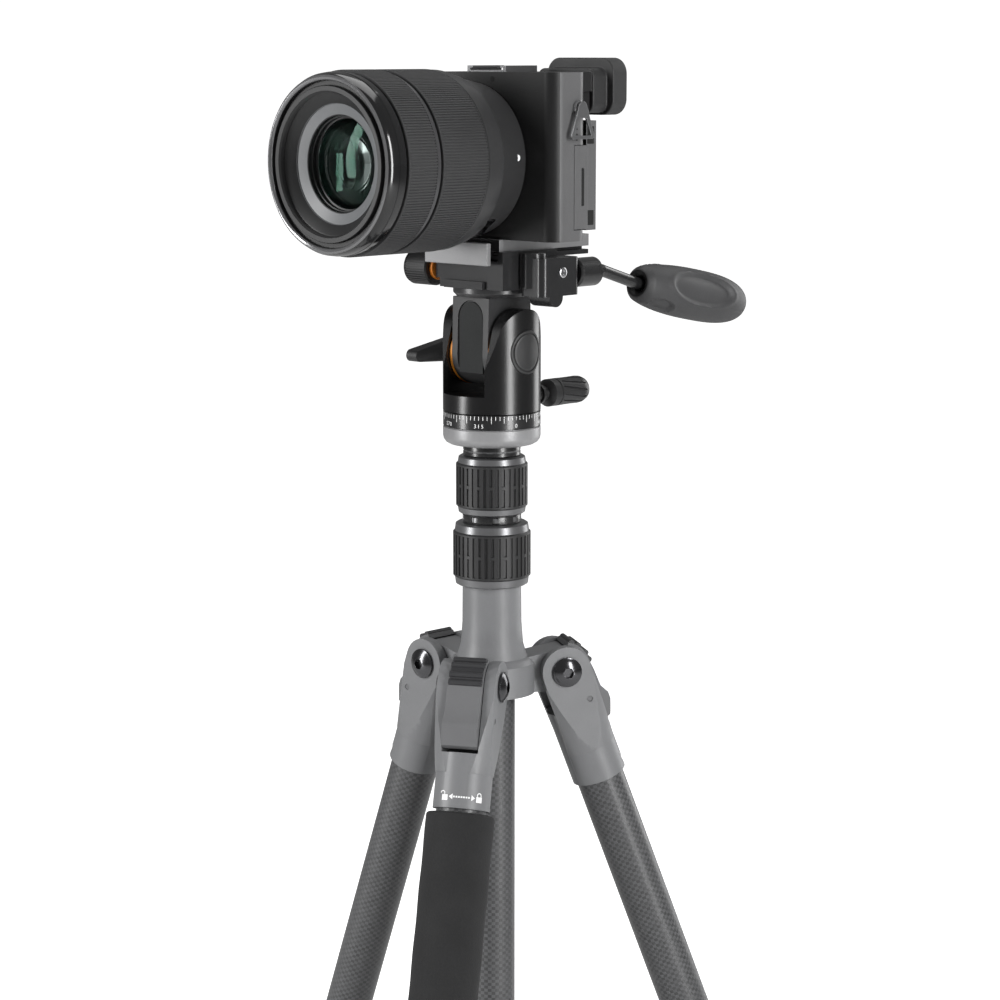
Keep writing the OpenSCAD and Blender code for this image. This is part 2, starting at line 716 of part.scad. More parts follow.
spider();
leg_pivot_bolts();
leg_casting(0);  // front_leg_casting
leg_casting(1);  // right_leg_casting
leg_casting(2);  // left_leg_casting
angle_lock(0);  // front_angle_lock
angle_lock(1);  // right_angle_lock
angle_lock(2);  // left_angle_lock
upper_tube(0);  // front_upper_tube
upper_tube(1);  // right_upper_tube
upper_tube(2);  // left_upper_tube
leg_lock(0, upper_r, middle_r, upper_end, 28);  // front_upper_lock
leg_lock(1, upper_r, middle_r, upper_end, 28);  // right_upper_lock
leg_lock(2, upper_r, middle_r, upper_end, 28);  // left_upper_lock
middle_tube(0);  // front_middle_tube
middle_tube(1);  // right_middle_tube
middle_tube(2);  // left_middle_tube
leg_lock(0, middle_r, lower_r, upper_end + 32, 26);  // front_lower_lock
leg_lock(1, middle_r, lower_r, upper_end + 32, 26);  // right_lower_lock
leg_lock(2, middle_r, lower_r, upper_end + 32, 26);  // left_lower_lock
lower_tube(0);  // front_lower_tube
lower_tube(1);  // right_lower_tube
lower_tube(2);  // left_lower_tube
foam_grip();
column_lower_lock();
column_tube();
column_upper_lock();
column_inner_tube();
head_base();
fork();
fork_cap();
tilt_block();
friction_discs();
tilt_knob();
pan_knob();
clamp_body();
clamp_knob();
clamp_jaw();
quick_release_plate();
camera_screw();
phone_jaw();
handle_rod();
handle_grip();
camera_body();
top_cover();
screen();
eyecup();
shutter_button();
power_lever();
mode_dial();
control_dial();
terminal_door();
battery_door();
lens_release_button();
strap_rings();
lens_barrel();
lens_ring(zoom_y);  // zoom_ring
lens_ring(focus_y);  // focus_ring
front_barrel();
lens_glass();
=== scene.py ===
# A mirrorless camera with a standard zoom, on a pan-and-tilt head and a carbon travel tripod.
import json
from math import atan2, cos, hypot, pi, radians, sin, tau

import bmesh
import bpy
from mathutils import Matrix, Vector


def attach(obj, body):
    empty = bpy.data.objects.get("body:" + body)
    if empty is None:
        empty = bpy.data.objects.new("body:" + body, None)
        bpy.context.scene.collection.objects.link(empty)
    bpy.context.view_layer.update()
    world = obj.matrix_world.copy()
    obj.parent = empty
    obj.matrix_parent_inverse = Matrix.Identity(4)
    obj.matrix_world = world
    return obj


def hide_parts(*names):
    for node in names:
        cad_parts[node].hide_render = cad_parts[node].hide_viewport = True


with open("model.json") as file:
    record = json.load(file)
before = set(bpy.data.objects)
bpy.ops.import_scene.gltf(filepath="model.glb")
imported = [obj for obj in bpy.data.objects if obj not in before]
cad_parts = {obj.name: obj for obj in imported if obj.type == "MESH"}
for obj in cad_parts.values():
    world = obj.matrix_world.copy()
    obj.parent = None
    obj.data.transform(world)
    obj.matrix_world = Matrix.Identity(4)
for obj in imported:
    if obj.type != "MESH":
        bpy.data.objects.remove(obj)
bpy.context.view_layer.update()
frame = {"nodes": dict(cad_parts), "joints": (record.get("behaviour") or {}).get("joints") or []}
nodes = frame["nodes"]
joints = {joint["name"]: joint for joint in frame["joints"]}

# ---------- Studio ----------
# A pale floor under the tripod, seen from the height of the lens. Two tall softboxes stand beside the
# viewer and leave the front dark between them; one hangs over the camera and one lights its back.

VIEW_TURN = radians(44)
VIEW_AWAY = 1.115
VIEW_HEIGHT = 0.664
VIEW_DIP = radians(9.48)
VIEW_ASIDE = radians(0.175)

view_data = bpy.data.cameras.new("viewer")
view_data.lens = 97.2
view_data.sensor_width = 36
viewer = bpy.data.objects.new("viewer", view_data)
viewer.location = (sin(VIEW_TURN) * VIEW_AWAY, -cos(VIEW_TURN) * VIEW_AWAY, VIEW_HEIGHT)
viewer.rotation_euler = (radians(90) - VIEW_DIP, 0, VIEW_TURN - VIEW_ASIDE)
bpy.context.collection.objects.link(viewer)
bpy.context.scene.camera = viewer
bpy.context.scene.view_settings.view_transform = "Standard"

AIM_HEIGHT = 0.55


def softbox(name, turn, away, height, size, watts):
    """Rectangular lamp that looks at the camera from a turn about the column, in degrees."""
    lamp = bpy.data.lights.new(name, "AREA")
    lamp.shape = "RECTANGLE"
    lamp.size, lamp.size_y = size
    lamp.energy = watts
    box = bpy.data.objects.new(name, lamp)
    box.location = (cos(radians(turn)) * away, sin(radians(turn)) * away, height)
    towards = Vector((0, 0, AIM_HEIGHT)) - box.location
    box.rotation_euler = towards.to_track_quat("-Z", "Y").to_euler()
    bpy.context.collection.objects.link(box)


softbox("left softbox", turn=-118, away=1.7, height=0.9, size=(0.42, 1.6), watts=30)
softbox("right softbox", turn=-2, away=1.7, height=0.8, size=(0.4, 1.6), watts=30)
softbox("top softbox", turn=130, away=0.5, height=2.1, size=(1.2, 1.2), watts=9)
softbox("rear softbox", turn=85, away=1.8, height=0.9, size=(0.8, 1.6), watts=14)



def blank_material(name):
    """New material, with its node tree and its shader."""
    material = bpy.data.materials.new(name)
    material.use_nodes = True
    return material, material.node_tree, material.node_tree.nodes["Principled BSDF"]


def only_seen(tree, unseen, seen, strength):
    """Gives a strength one value for what the viewer sees directly and another for all other light."""
    rays = tree.nodes.new("ShaderNodeLightPath")
    either = tree.nodes.new("ShaderNodeMapRange")
    either.inputs["To Min"].default_value = unseen
    either.inputs["To Max"].default_value = seen
    tree.links.new(rays.outputs["Is Camera Ray"], either.inputs["Value"])
    tree.links.new(either.outputs["Result"], strength)


world = bpy.data.worlds.new("studio")
bpy.context.scene.world = world
world.use_nodes = True
backdrop = world.node_tree.nodes["Background"]
backdrop.inputs["Color"].default_value = (1, 1, 1, 1)
only_seen(world.node_tree, unseen=0.2, seen=1.05, strength=backdrop.inputs["Strength"])

floor_shape = bmesh.new()
bmesh.ops.create_grid(floor_shape, x_segments=1, y_segments=1, size=30)
floor_mesh = bpy.data.meshes.new("studio_floor")
floor_shape.to_mesh(floor_mesh)
floor_shape.free()
floor = bpy.data.objects.new("studio_floor", floor_mesh)
bpy.context.collection.objects.link(floor)
paper, tree, shader = blank_material("pale paper")
shader.inputs["Base Color"].default_value = (0.7, 0.7, 0.7, 1)
shader.inputs["Roughness"].default_value = 0.9
shader.inputs["Emission Color"].default_value = (1, 1, 1, 1)
only_seen(tree, unseen=0, seen=0.95, strength=shader.inputs["Emission Strength"])
floor_mesh.materials.append(paper)

# ---------- Spider ----------
# Cast and powder-coated aluminium: a hub with three lugs for the legs and a turned neck that the
# centre column slides in.

MM = 0.001


def node_group(name, inputs, outputs):
    """Empty shader group with its sockets: (name, kind, default value) in, (name, kind) out."""
    group = bpy.data.node_groups.new(name, "ShaderNodeTree")
    for label, kind, value in inputs:
        socket = group.interface.new_socket(name=label, in_out="INPUT", socket_type=f"NodeSocket{kind}")
        if value is not None:
            socket.default_value = value
    for label, kind in outputs:
        group.interface.new_socket(name=label, in_out="OUTPUT", socket_type=f"NodeSocket{kind}")
    return group, group.nodes.new("NodeGroupInput"), group.nodes.new("NodeGroupOutput")


def math(tree, operation, first, second=None):
    """Math node on two sockets or numbers, and its output."""
    node = tree.nodes.new("ShaderNodeMath")
    node.operation = operation
    for socket, value in zip(node.inputs, (first, second)):
        if isinstance(value, (int, float)):
            socket.default_value = value
        elif value is not None:
            tree.links.new(value, socket)
    return node.outputs[0]


# Fine grain of a coated or moulded surface, with slow patches that make it a little lighter or duller
grain, given, result = node_group(
    "surface grain",
    [("Colour", "Color", (0.5, 0.5, 0.5, 1)), ("Roughness", "Float", 0.5), ("Fineness", "Float", 2000),
     ("Variation", "Float", 0.1)],
    [("Colour", "Color"), ("Roughness", "Float"), ("Height", "Float")],
)
coordinates = grain.nodes.new("ShaderNodeTexCoord")
fine = grain.nodes.new("ShaderNodeTexNoise")
fine.inputs["Detail"].default_value = 3
grain.links.new(coordinates.outputs["Object"], fine.inputs["Vector"])
grain.links.new(given.outputs["Fineness"], fine.inputs["Scale"])
patches = grain.nodes.new("ShaderNodeTexNoise")
patches.inputs["Scale"].default_value = 70
patches.inputs["Detail"].default_value = 5
grain.links.new(coordinates.outputs["Object"], patches.inputs["Vector"])
both = math(grain, "ADD", math(grain, "MULTIPLY", fine.outputs["Fac"], 0.5),
            math(grain, "MULTIPLY", patches.outputs["Fac"], 0.5))
swing = math(grain, "MULTIPLY", math(grain, "SUBTRACT", both, 0.5), given.outputs["Variation"])
lighter = grain.nodes.new("ShaderNodeMix")
lighter.data_type = "RGBA"
lighter.blend_type = "MULTIPLY"
lighter.inputs["Factor"].default_value = 1
grain.links.new(given.outputs["Colour"], lighter.inputs["A"])
grain.links.new(math(grain, "ADD", math(grain, "MULTIPLY", swing, 4), 1), lighter.inputs["B"])
grain.links.new(lighter.outputs["Result"], result.inputs["Colour"])
grain.links.new(math(grain, "SUBTRACT", given.outputs["Roughness"], swing), result.inputs["Roughness"])
grain.links.new(fine.outputs["Fac"], result.inputs["Height"])


def dress(tree, shader, texture, depth):
    """Lays a group's colour, roughness and relief on a shader, the relief's depth in millimetres."""
    tree.links.new(texture.outputs["Colour"], shader.inputs["Base Color"])
    tree.links.new(texture.outputs["Roughness"], shader.inputs["Roughness"])
    bump = tree.nodes.new("ShaderNodeBump")
    bump.inputs["Distance"].default_value = depth * MM
    tree.links.new(texture.outputs["Height"], bump.inputs["Height"])
    tree.links.new(bump.outputs["Normal"], shader.inputs["Normal"])


def finish(name, colour, roughness, fineness, depth, variation=0.12, metallic=0.0, coat=0.0, shine=0.5):
    """Material with surface grain. The grain's depth is in millimetres."""
    material, tree, shader = blank_material(name)
    shader.inputs["Metallic"].default_value = metallic
    shader.inputs["Coat Weight"].default_value = coat
    shader.inputs["Coat Roughness"].default_value = 0.12
    shader.inputs["Specular IOR Level"].default_value = shine
    texture = tree.nodes.new("ShaderNodeGroup")
    texture.node_tree = grain
    texture.inputs["Colour"].default_value = (*colour, 1)
    texture.inputs["Roughness"].default_value = roughness
    texture.inputs["Fineness"].default_value = fineness
    texture.inputs["Variation"].default_value = variation
    dress(tree, shader, texture, depth)
    return material


def cad_copy(*names):
    """Shape of CAD nodes in millimetres, with its triangles merged into flat faces."""
    shape = bmesh.new()
    for name in names:
        shape.from_mesh(nodes[name].data)
    bmesh.ops.scale(shape, vec=(1 / MM,) * 3, verts=shape.verts)
    bmesh.ops.remove_doubles(shape, verts=shape.verts, dist=0.001)
    bmesh.ops.dissolve_limit(shape, angle_limit=radians(0.5), verts=shape.verts, edges=shape.edges)
    return shape


def round_off(shape, edges, width, segments):
    """Rounds some edges of a shape."""
    bmesh.ops.bevel(shape, geom=edges, offset=width, offset_type="OFFSET", affect="EDGES",
                    segments=segments, profile=0.5, clamp_overlap=True, material=-1)
    return shape


def soften(shape, width, segments=2, corner=28):
    """Rounds every edge sharper than the corner angle, as casting, moulding or deburring does."""
    sharp = [edge for edge in shape.edges if edge.calc_face_angle(0) > radians(corner)]
    return round_off(shape, sharp, width, segments)


def piece(name, body, material, *shapes, stands_for=(), slot=None, crease=38, accents=()):
    """Joins shapes made in millimetres into one piece in metres that rides on a body."""
    mesh = bpy.data.meshes.new(name)
    whole = bmesh.new()
    for shape in shapes:
        bmesh.ops.recalc_face_normals(shape, faces=shape.faces)
        shape.to_mesh(mesh)
        whole.from_mesh(mesh)
        shape.free()
    bmesh.ops.scale(whole, vec=(MM,) * 3, verts=whole.verts)
    whole.to_mesh(mesh)
    whole.free()
    mesh.shade_smooth()
    mesh.set_sharp_from_angle(angle=radians(crease))
    mesh.materials.append(material)
    made = bpy.data.objects.new(name, mesh)
    bpy.context.collection.objects.link(made)
    made.modifiers.new("even shading", "WEIGHTED_NORMAL").keep_sharp = True
    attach(made, body)
    if stands_for:
        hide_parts(*stands_for)
    for accent in accents:
        mesh.materials.append(accent)
    return made


def softened(name, body, material, node, width, segments=3, corner=30, **details):
    """One CAD node with its edges rounded, as a piece that stands for the node."""
    return piece(name, body, material, soften(cad_copy(node), width, segments, corner), stands_for=[node],
                 **details)


grey_coat = finish("grey powder coat", (0.17, 0.172, 0.177), 0.42, fineness=3500, depth=0.012)
softened("spider_casting", "spider", grey_coat, "spider", 0.35, segments=2, corner=28, slot="grey_casting")

# ---------- Pivot bolts ----------
# Black-plated shoulder bolts with button heads and hexagon sockets. One pair goes through each lug
# of the spider and the two cheeks of a leg's casting.

black_plate = finish("black plating", (0.11, 0.11, 0.115), 0.18, fineness=2500, depth=0.004, variation=0.2,
                     metallic=1.0)
softened("leg_bolts", "spider", black_plate, "leg_pivot_bolts", 0.25, segments=2, corner=35,
         slot="bolt_black")

# ---------- Leg castings ----------
# Powder-coated yokes. The collar under the cheeks is glued round the carbon tube, and carries a small
# printed guide: open padlock, double arrow, closed padlock.

SIDES = ("front", "right", "left")


def leg_frame(side):
    """Place of a leg's parts, in millimetres: hinge at the origin, +Z up the leg, +X outwards."""
    splay = joints[f"{side}_leg_splay"]
    up = -Vector(joints[f"{side}_middle_slide"]["axis"])
    across = Vector(splay["axis"])
    out = across.cross(up)
    place = Matrix((out, across, up)).transposed().to_4x4()
    place.translation = Vector(splay["pos_m"]) / MM
    return place


def on_rim(turn, radius, height):
    """Place on the rim of an upright drum, turned in degrees: +X along the rim, +Y up, +Z outwards."""
    a = radians(turn)
    place = Matrix(((-sin(a), 0, cos(a)), (cos(a), 0, sin(a)), (0, 1, 0))).to_4x4()
    place.translation = (cos(a) * radius, sin(a) * radius, height)
    return place


def spot(point, turn, axis):
    """Place at a point, turned in degrees about an axis."""
    return Matrix.Translation(point) @ Matrix.Rotation(radians(turn), 4, axis)


def placed(shape, place):
    """The shape, moved to a place."""
    bmesh.ops.transform(shape, matrix=place, verts=shape.verts)
    return shape


def slab(outline, thickness, edge=0.0, segments=2):
    """Plate with an outline in X and Y, standing on Z = 0, with its long edges rounded."""
    shape = bmesh.new()
    face = shape.faces.new([shape.verts.new((x, y, 0)) for x, y in outline])
    grown = bmesh.ops.extrude_face_region(shape, geom=[face])["geom"]
    raised = [item for item in grown if isinstance(item, bmesh.types.BMVert)]
    bmesh.ops.translate(shape, vec=(0, 0, thickness), verts=raised)
    bmesh.ops.recalc_face_normals(shape, faces=shape.faces)
    if edge:
        level = [e for e in shape.edges if abs(e.verts[0].co.z - e.verts[1].co.z) < 1e-5]
        round_off(shape, level, edge, segments)
    return shape


def block(low, high, edge=0.3, segments=2):
    """Box between two corners with every edge rounded."""
    shape = bmesh.new()
    bmesh.ops.create_cube(shape, size=1)
    size = Vector(high) - Vector(low)
    bmesh.ops.scale(shape, vec=size, verts=shape.verts)
    bmesh.ops.translate(shape, vec=Vector(low) + size / 2, verts=shape.verts)
    return round_off(shape, shape.edges[:], edge, segments)


def arc(x, y, radius, start, end, steps=12):
    """Points along an arc round x, y, from one angle to another, in degrees."""
    turns = [radians(start + (end - start) * i / steps) for i in range(steps + 1)]
    return [(x + radius * cos(a), y + radius * sin(a)) for a in turns]


INK = 0.06


def padlock(open_by):
    """Printed padlock 4 mm high; its shackle is swung aside by open_by when it is open."""
    shackle = arc(open_by, 0.9, 1.1, 180, 0) + arc(open_by, 0.9, 0.7, 0, 180)
    legs = [open_by + 0.7] if open_by else [-1.1, 0.7]
    return [slab([(-1.4, -2), (1.4, -2), (1.4, 0.3), (-1.4, 0.3)], INK), slab(shackle, INK)] + [
        slab([(x, 0.2), (x + 0.4, 0.2), (x + 0.4, 0.9), (x, 0.9)], INK) for x in legs]


PRINT_TURN, PRINT_R, LOCK_Z, ARROW_Z = 15, 11.78, -46.6, -47
white_print = finish("white print", (0.85, 0.85, 0.85), 0.6, fineness=4000, depth=0.004, variation=0.05)
for side in SIDES:
    leg = leg_frame(side)
    softened(f"{side}_yoke", f"{side}_leg", grey_coat, f"{side}_leg_casting", 0.6, corner=28,
             slot="grey_casting")
    marks = [placed(mark, on_rim(PRINT_TURN - 36, PRINT_R, LOCK_Z)) for mark in padlock(-1.1)]
    marks += [placed(mark, on_rim(PRINT_TURN + 36, PRINT_R, LOCK_Z)) for mark in padlock(0)]
    for turn in range(PRINT_TURN - 16, PRINT_TURN + 17, 5):
        dot = slab([(-0.36, -0.36), (0.36, -0.36), (0.36, 0.36), (-0.36, 0.36)], INK)
        marks.append(placed(dot, on_rim(turn, PRINT_R, ARROW_Z)))
    for turn, tip in ((PRINT_TURN - 19, -1), (PRINT_TURN + 19, 1)):
        arrowhead = slab([(0, 1.2), (0, -1.2), (tip * 1.6, 0)][::tip], INK)
        marks.append(placed(arrowhead, on_rim(turn, PRINT_R, ARROW_Z)))
    piece(f"{side}_collar_print", f"{side}_leg", white_print, *[placed(mark, leg) for mark in marks])

# ---------- Angle locks ----------
# Moulded rockers between the cheeks, each on a steel pin. The ridged upper end is a darker insert that
# a thumb pulls out to spread the leg.

grey_mould = finish("grey moulded tab", (0.125, 0.126, 0.13), 0.5, fineness=3000, depth=0.01, variation=0.1)
dark_mould = finish("dark ridged insert", (0.028, 0.028, 0.03), 0.42, fineness=3000, depth=0.01)
INSERT_WIDE, RIDGE_R = 13.8, 11.75
for side in SIDES:
    leg = leg_frame(side)
    softened(f"{side}_rocker", f"{side}_angle_lock", grey_mould, f"{side}_angle_lock", 0.5, corner=28,
             slot="lock_tab")
    face = slab(arc(0, 0, 12.0, 58, -12, 14) + arc(0, 0, 11.4, -12, 58, 14), INSERT_WIDE, 0.15)
    insert = [placed(face, spot((0, INSERT_WIDE / 2, 0), 90, "X"))]
    for turn in (52, 36, 14, -2):
        ridge = bmesh.new()
        bmesh.ops.create_cone(ridge, cap_ends=True, segments=16, radius1=1.35, radius2=1.35,
                              depth=INSERT_WIDE + 0.1)
        at = (RIDGE_R * cos(radians(turn)), 0, RIDGE_R * sin(radians(turn)))
        insert.append(placed(ridge, spot(at, 90, "X")))
    piece(f"{side}_rocker_ridges", f"{side}_angle_lock", dark_mould, *[placed(part, leg) for part in insert])

# ---------- Leg tubes ----------
# Rolled carbon-fibre tubes in a plain weave under a matt lacquer. They stay as the CAD nodes;
# each lower tube also carries its moulded rubber foot.

weave, given, result = node_group(
    "carbon weave",
    [("Vector", "Vector", None), ("Columns", "Float", 40), ("Pitch", "Float", 0.00135)],
    [("Colour", "Color"), ("Roughness", "Float"), ("Height", "Float")],
)
axes = weave.nodes.new("ShaderNodeSeparateXYZ")
weave.links.new(given.outputs["Vector"], axes.inputs["Vector"])
around = math(weave, "ARCTAN2", axes.outputs["Y"], axes.outputs["X"])
column = math(weave, "MULTIPLY", math(weave, "MULTIPLY", around, 1 / tau), given.outputs["Columns"])
row = math(weave, "DIVIDE", axes.outputs["Z"], given.outputs["Pitch"])
step_sum = math(weave, "ADD", math(weave, "FLOOR", column), math(weave, "FLOOR", row))
weft = math(weave, "LESS_THAN", math(weave, "FLOORED_MODULO", step_sum, 2), 1)
cell = weave.nodes.new("ShaderNodeCombineXYZ")
weave.links.new(math(weave, "FLOOR", column), cell.inputs["X"])
weave.links.new(math(weave, "FLOOR", row), cell.inputs["Y"])
tow = weave.nodes.new("ShaderNodeTexWhiteNoise")
tow.noise_dimensions = "2D"
weave.links.new(cell.outputs["Vector"], tow.inputs["Vector"])
shade = math(weave, "ADD", math(weave, "MULTIPLY", weft, 0.7),
             math(weave, "MULTIPLY", tow.outputs["Value"], 0.3))
tint = weave.nodes.new("ShaderNodeMix")
tint.data_type = "RGBA"
tint.inputs["A"].default_value = (0.035, 0.035, 0.036, 1)
tint.inputs["B"].default_value = (0.085, 0.086, 0.089, 1)
weave.links.new(shade, tint.inputs["Factor"])
weave.links.new(tint.outputs["Result"], result.inputs["Colour"])
weave.links.new(math(weave, "ADD", math(weave, "MULTIPLY", weft, 0.12), 0.38), result.inputs["Roughness"])
across_tow = math(weave, "PINGPONG", math(weave, "ADD", math(weave, "MULTIPLY", weft, 0.5), column), 0.5)
weave.links.new(math(weave, "ADD", math(weave, "MULTIPLY", across_tow, 1.2), weft), result.inputs["Height"])


def carbon(name, place, columns):
    """Carbon material whose weave runs round the Z axis of a place given in millimetres."""
    material, tree, shader = blank_material(name)
    shader.inputs["Coat Weight"].default_value = 0.25
    shader.inputs["Coat Roughness"].default_value = 0.3
    coordinates = tree.nodes.new("ShaderNodeTexCoord")
    turn = tree.nodes.new("ShaderNodeMapping")
    turn.vector_type = "TEXTURE"
    turn.inputs["Location"].default_value = place.translation * MM
    turn.inputs["Rotation"].default_value = place.to_euler()
    tree.links.new(coordinates.outputs["Object"], turn.inputs["Vector"])
    cloth = tree.nodes.new("ShaderNodeGroup")
    cloth.node_tree = weave
    cloth.inputs["Columns"].default_value = columns
    tree.links.new(turn.outputs["Vector"], cloth.inputs["Vector"])
    dress(tree, shader, cloth, depth=0.03)
    return material


def repaint(node, material):
    """Gives a CAD node that stays its finished material."""
    nodes[node].data.materials.clear()
    nodes[node].data.materials.append(material)


black_rubber = finish("black rubber", (0.022, 0.022, 0.023), 0.58, fineness=1800, depth=0.02)
FOOT_LENGTH = 24
for side in SIDES:
    leg = leg_frame(side)
    repaint(f"{side}_upper_tube", carbon(f"{side} upper carbon", leg, 40))
    repaint(f"{side}_middle_tube", carbon(f"{side} middle carbon", leg, 32))
    lower = cad_copy(f"{side}_lower_tube")
    down = leg.inverted()
    lowest = min((down @ vert.co).z for vert in lower.verts)
    for face in lower.faces:
        face.material_index = int((down @ face.calc_center_median()).z < lowest + FOOT_LENGTH)
    piece(f"{side}_lower_section", f"{side}_lower", carbon(f"{side} lower carbon", leg, 26),
          soften(lower, 0.3, corner=50), stands_for=[f"{side}_lower_tube"], slot="carbon",
          accents=[black_rubber])

# ---------- Leg twist locks ----------
# Aluminium collars that clamp the tube below, in a rubber grip moulded with rounded grooves. A satin
# trim ring closes the grip at each end.


def turned(outline, steps=96, closed=False):
    """Shape spun round Z from (radius, height) points; closed joins the last point to the first."""
    shape = bmesh.new()
    points = [shape.verts.new((r, 0, z)) for r, z in outline]
    ring = points + points[:1] if closed else points
    edges = [shape.edges.new(pair) for pair in zip(ring, ring[1:])]
    bmesh.ops.spin(shape, geom=points + edges, cent=(0, 0, 0), axis=(0, 0, 1), angle=tau,
                   steps=steps, use_merge=True)
    bmesh.ops.remove_doubles(shape, verts=shape.verts, dist=0.0005)
    bmesh.ops.recalc_face_normals(shape, faces=shape.faces)
    return shape


def where(face):
    """Radius and height of a turned face's middle, and its turn as a share of the full circle."""
    middle = face.calc_center_median()
    return hypot(middle.x, middle.y), middle.z, (atan2(middle.y, middle.x) / tau) % 1


def strips(shape, beyond, low, high, steps, every=2, wanted=(1,)):
    """Faces of a turned drum beyond a radius and between two heights, in some of every so many strips."""
    found = []
    for face in shape.faces:
        radius, height, share = where(face)
        if radius > beyond and low < height < high and int(share * steps) % every in wanted:
            found.append(face)
    return found


def twist_lock(name, inner, outer, low, high, trim, columns, place):
    """Grip with alternate long and paired short grooves, between two trim rings, on the lock's own body."""
    foot, head, middle = low + trim, high - trim, (low + high) / 2
    grip = turned([(inner, foot), (outer - 0.6, foot), (outer, foot + 0.6), (outer, foot + 1.3),
                   (outer, middle - 0.6), (outer, middle + 0.6), (outer, head - 1.3), (outer, head - 0.6),
                   (outer - 0.6, head), (inner, head)], steps=2 * columns, closed=True)
    grooves = []
    for face in grip.faces:
        radius, height, share = where(face)
        strip = int(share * 2 * columns)
        inside = radius > outer * 0.98 and foot + 1.3 < height < head - 1.3
        bridge = abs(height - middle) < 0.6
        if inside and strip % 2 == 0 and (strip % 4 == 0 or not bridge):
            grooves.append(face)
    bmesh.ops.inset_region(grip, faces=grooves, thickness=0.2, depth=-0.55, use_even_offset=True,
                           use_boundary=True)
    piece(f"{name}_grip", name, lock_rubber, placed(grip, place), stands_for=[name], slot="lock_rubber")
    rings = [turned([(inner, low), (outer - 1.9, low), (outer - 1.1, low + 0.5), (outer - 0.7, foot),
                     (inner, foot)], closed=True),
             turned([(inner, head), (outer - 0.7, head), (outer - 1.1, high - 0.5), (outer - 1.9, high),
                     (inner, high)], closed=True)]
    piece(f"{name}_trims", name, satin_trim, *[placed(ring, place) for ring in rings],
          slot="light_grey_metal")


lock_rubber = finish("grip rubber", (0.014, 0.014, 0.0145), 0.5, fineness=2200, depth=0.015)
satin_trim = finish("satin anodised trim", (0.16, 0.161, 0.165), 0.3, fineness=3500, depth=0.004,
                    variation=0.1, metallic=0.6)
for side in SIDES:
    leg = leg_frame(side)
    twist_lock(f"{side}_upper_lock", inner=10.4, outer=12.85, low=-355, high=-324, trim=2.4, columns=28,
               place=leg)
    twist_lock(f"{side}_lower_lock", inner=8.5, outer=11, low=-387, high=-358, trim=2.2, columns=24,
               place=leg)

# ---------- Foam grip ----------
# Sleeve of closed-cell foam, pushed over one upper leg tube. It is skinned smooth with a fine open
# grain, and its cut ends are rounded over.

foam = finish("closed-cell foam", (0.0105, 0.0105, 0.011), 0.86, fineness=1500, depth=0.12, variation=0.16)
FOAM_TOP, FOAM_END, FOAM_R = -53.1, -262.9, 14.1
FOAM_BORE, FOAM_ROUND = 10.3, 1.3
outline = [(FOAM_BORE, FOAM_TOP)] + arc(FOAM_R - FOAM_ROUND, FOAM_TOP - FOAM_ROUND, FOAM_ROUND, 90, 0, 5)
STRAIGHT = FOAM_TOP - FOAM_END - 2 * FOAM_ROUND
outline += [(FOAM_R + 0.1 * sin(i * 1.3), FOAM_TOP - FOAM_ROUND - i * STRAIGHT / 40) for i in range(1, 40)]
outline += arc(FOAM_R - FOAM_ROUND, FOAM_END + FOAM_ROUND, FOAM_ROUND, 0, -90, 5) + [(FOAM_BORE, FOAM_END)]
sleeve = piece("foam_sleeve", "front_leg", foam, placed(turned(outline, 72, closed=True), leg_frame("front")),
               stands_for=["foam_grip"], slot="foam", crease=60)

# ---------- Centre column ----------
# Two carbon tubes, one in the other, each held by a twist lock. A slotted stop collar rests between
# the locks, and a turned plate on top takes the head.

upright = Matrix.Identity(4)
repaint("column_tube", carbon("column carbon", upright, 38))
repaint("column_inner_tube", carbon("inner column carbon", upright, 32))
twist_lock("column_lower_lock", inner=10.1, outer=16.3, low=442.5, high=468.8, trim=3.4, columns=38,
           place=upright)
twist_lock("column_upper_lock", inner=8.35, outer=15, low=472.8, high=497, trim=2.8, columns=36,
           place=upright)

black_satin = finish("black satin metal", (0.012, 0.012, 0.0125), 0.28, fineness=2600, depth=0.006, coat=0.3)
collar = turned([(11.6, 469.3), (12.1, 469.3), (12.3, 469.6), (12.3, 472), (12.1, 472.3), (11.6, 472.3)],
                48, closed=True)
windows = strips(collar, 12.2, 469.6, 472, steps=48, every=6, wanted=(0, 1))
bmesh.ops.inset_region(collar, faces=windows, thickness=0.25, depth=-0.3, use_even_offset=True)
for face in windows:
    face.material_index = 1
piece("stop_collar", "column", black_satin, collar, accents=[satin_trim])
piece("column_top_plate", "inner_column", black_satin,
      turned([(0, 497.2), (11.6, 497.2), (12, 497.6), (12, 498.9), (11.5, 499.1), (11.5, 499.5), (12, 499.7),
              (12, 501.4), (11.7, 501.8), (0, 501.8)]))

# ---------- Head base ----------
# Light grey turned ring that screws on the column, under a black ring with the degree scale printed
# on it: a tick every five degrees and a number every forty-five.

grey_ring = finish("light grey anodised ring", (0.27, 0.27, 0.275), 0.36, fineness=3500, depth=0.005,
                   variation=0.08, metallic=0.25)
BASE_R = 20.35
piece("head_base_ring", "inner_column", grey_ring,
      turned([(0, 502), (16.4, 502), (17.8, 502.3), (19.2, 503.1), (20, 504.2), (BASE_R, 505.6),
              (BASE_R, 509.2), (BASE_R - 0.2, 509.45), (19.6, 509.5), (19.6, 509.8), (0, 509.8)]),
      stands_for=["head_base"], slot="light_grey_metal")
piece("pan_scale_ring", "inner_column", black_satin,
      turned([(0, 509.8), (20, 509.8), (20.3, 510.1), (20.3, 515.8), (20, 516.05), (8, 516.05), (8, 519.5),
              (0, 519.5)]), slot="black_metal")


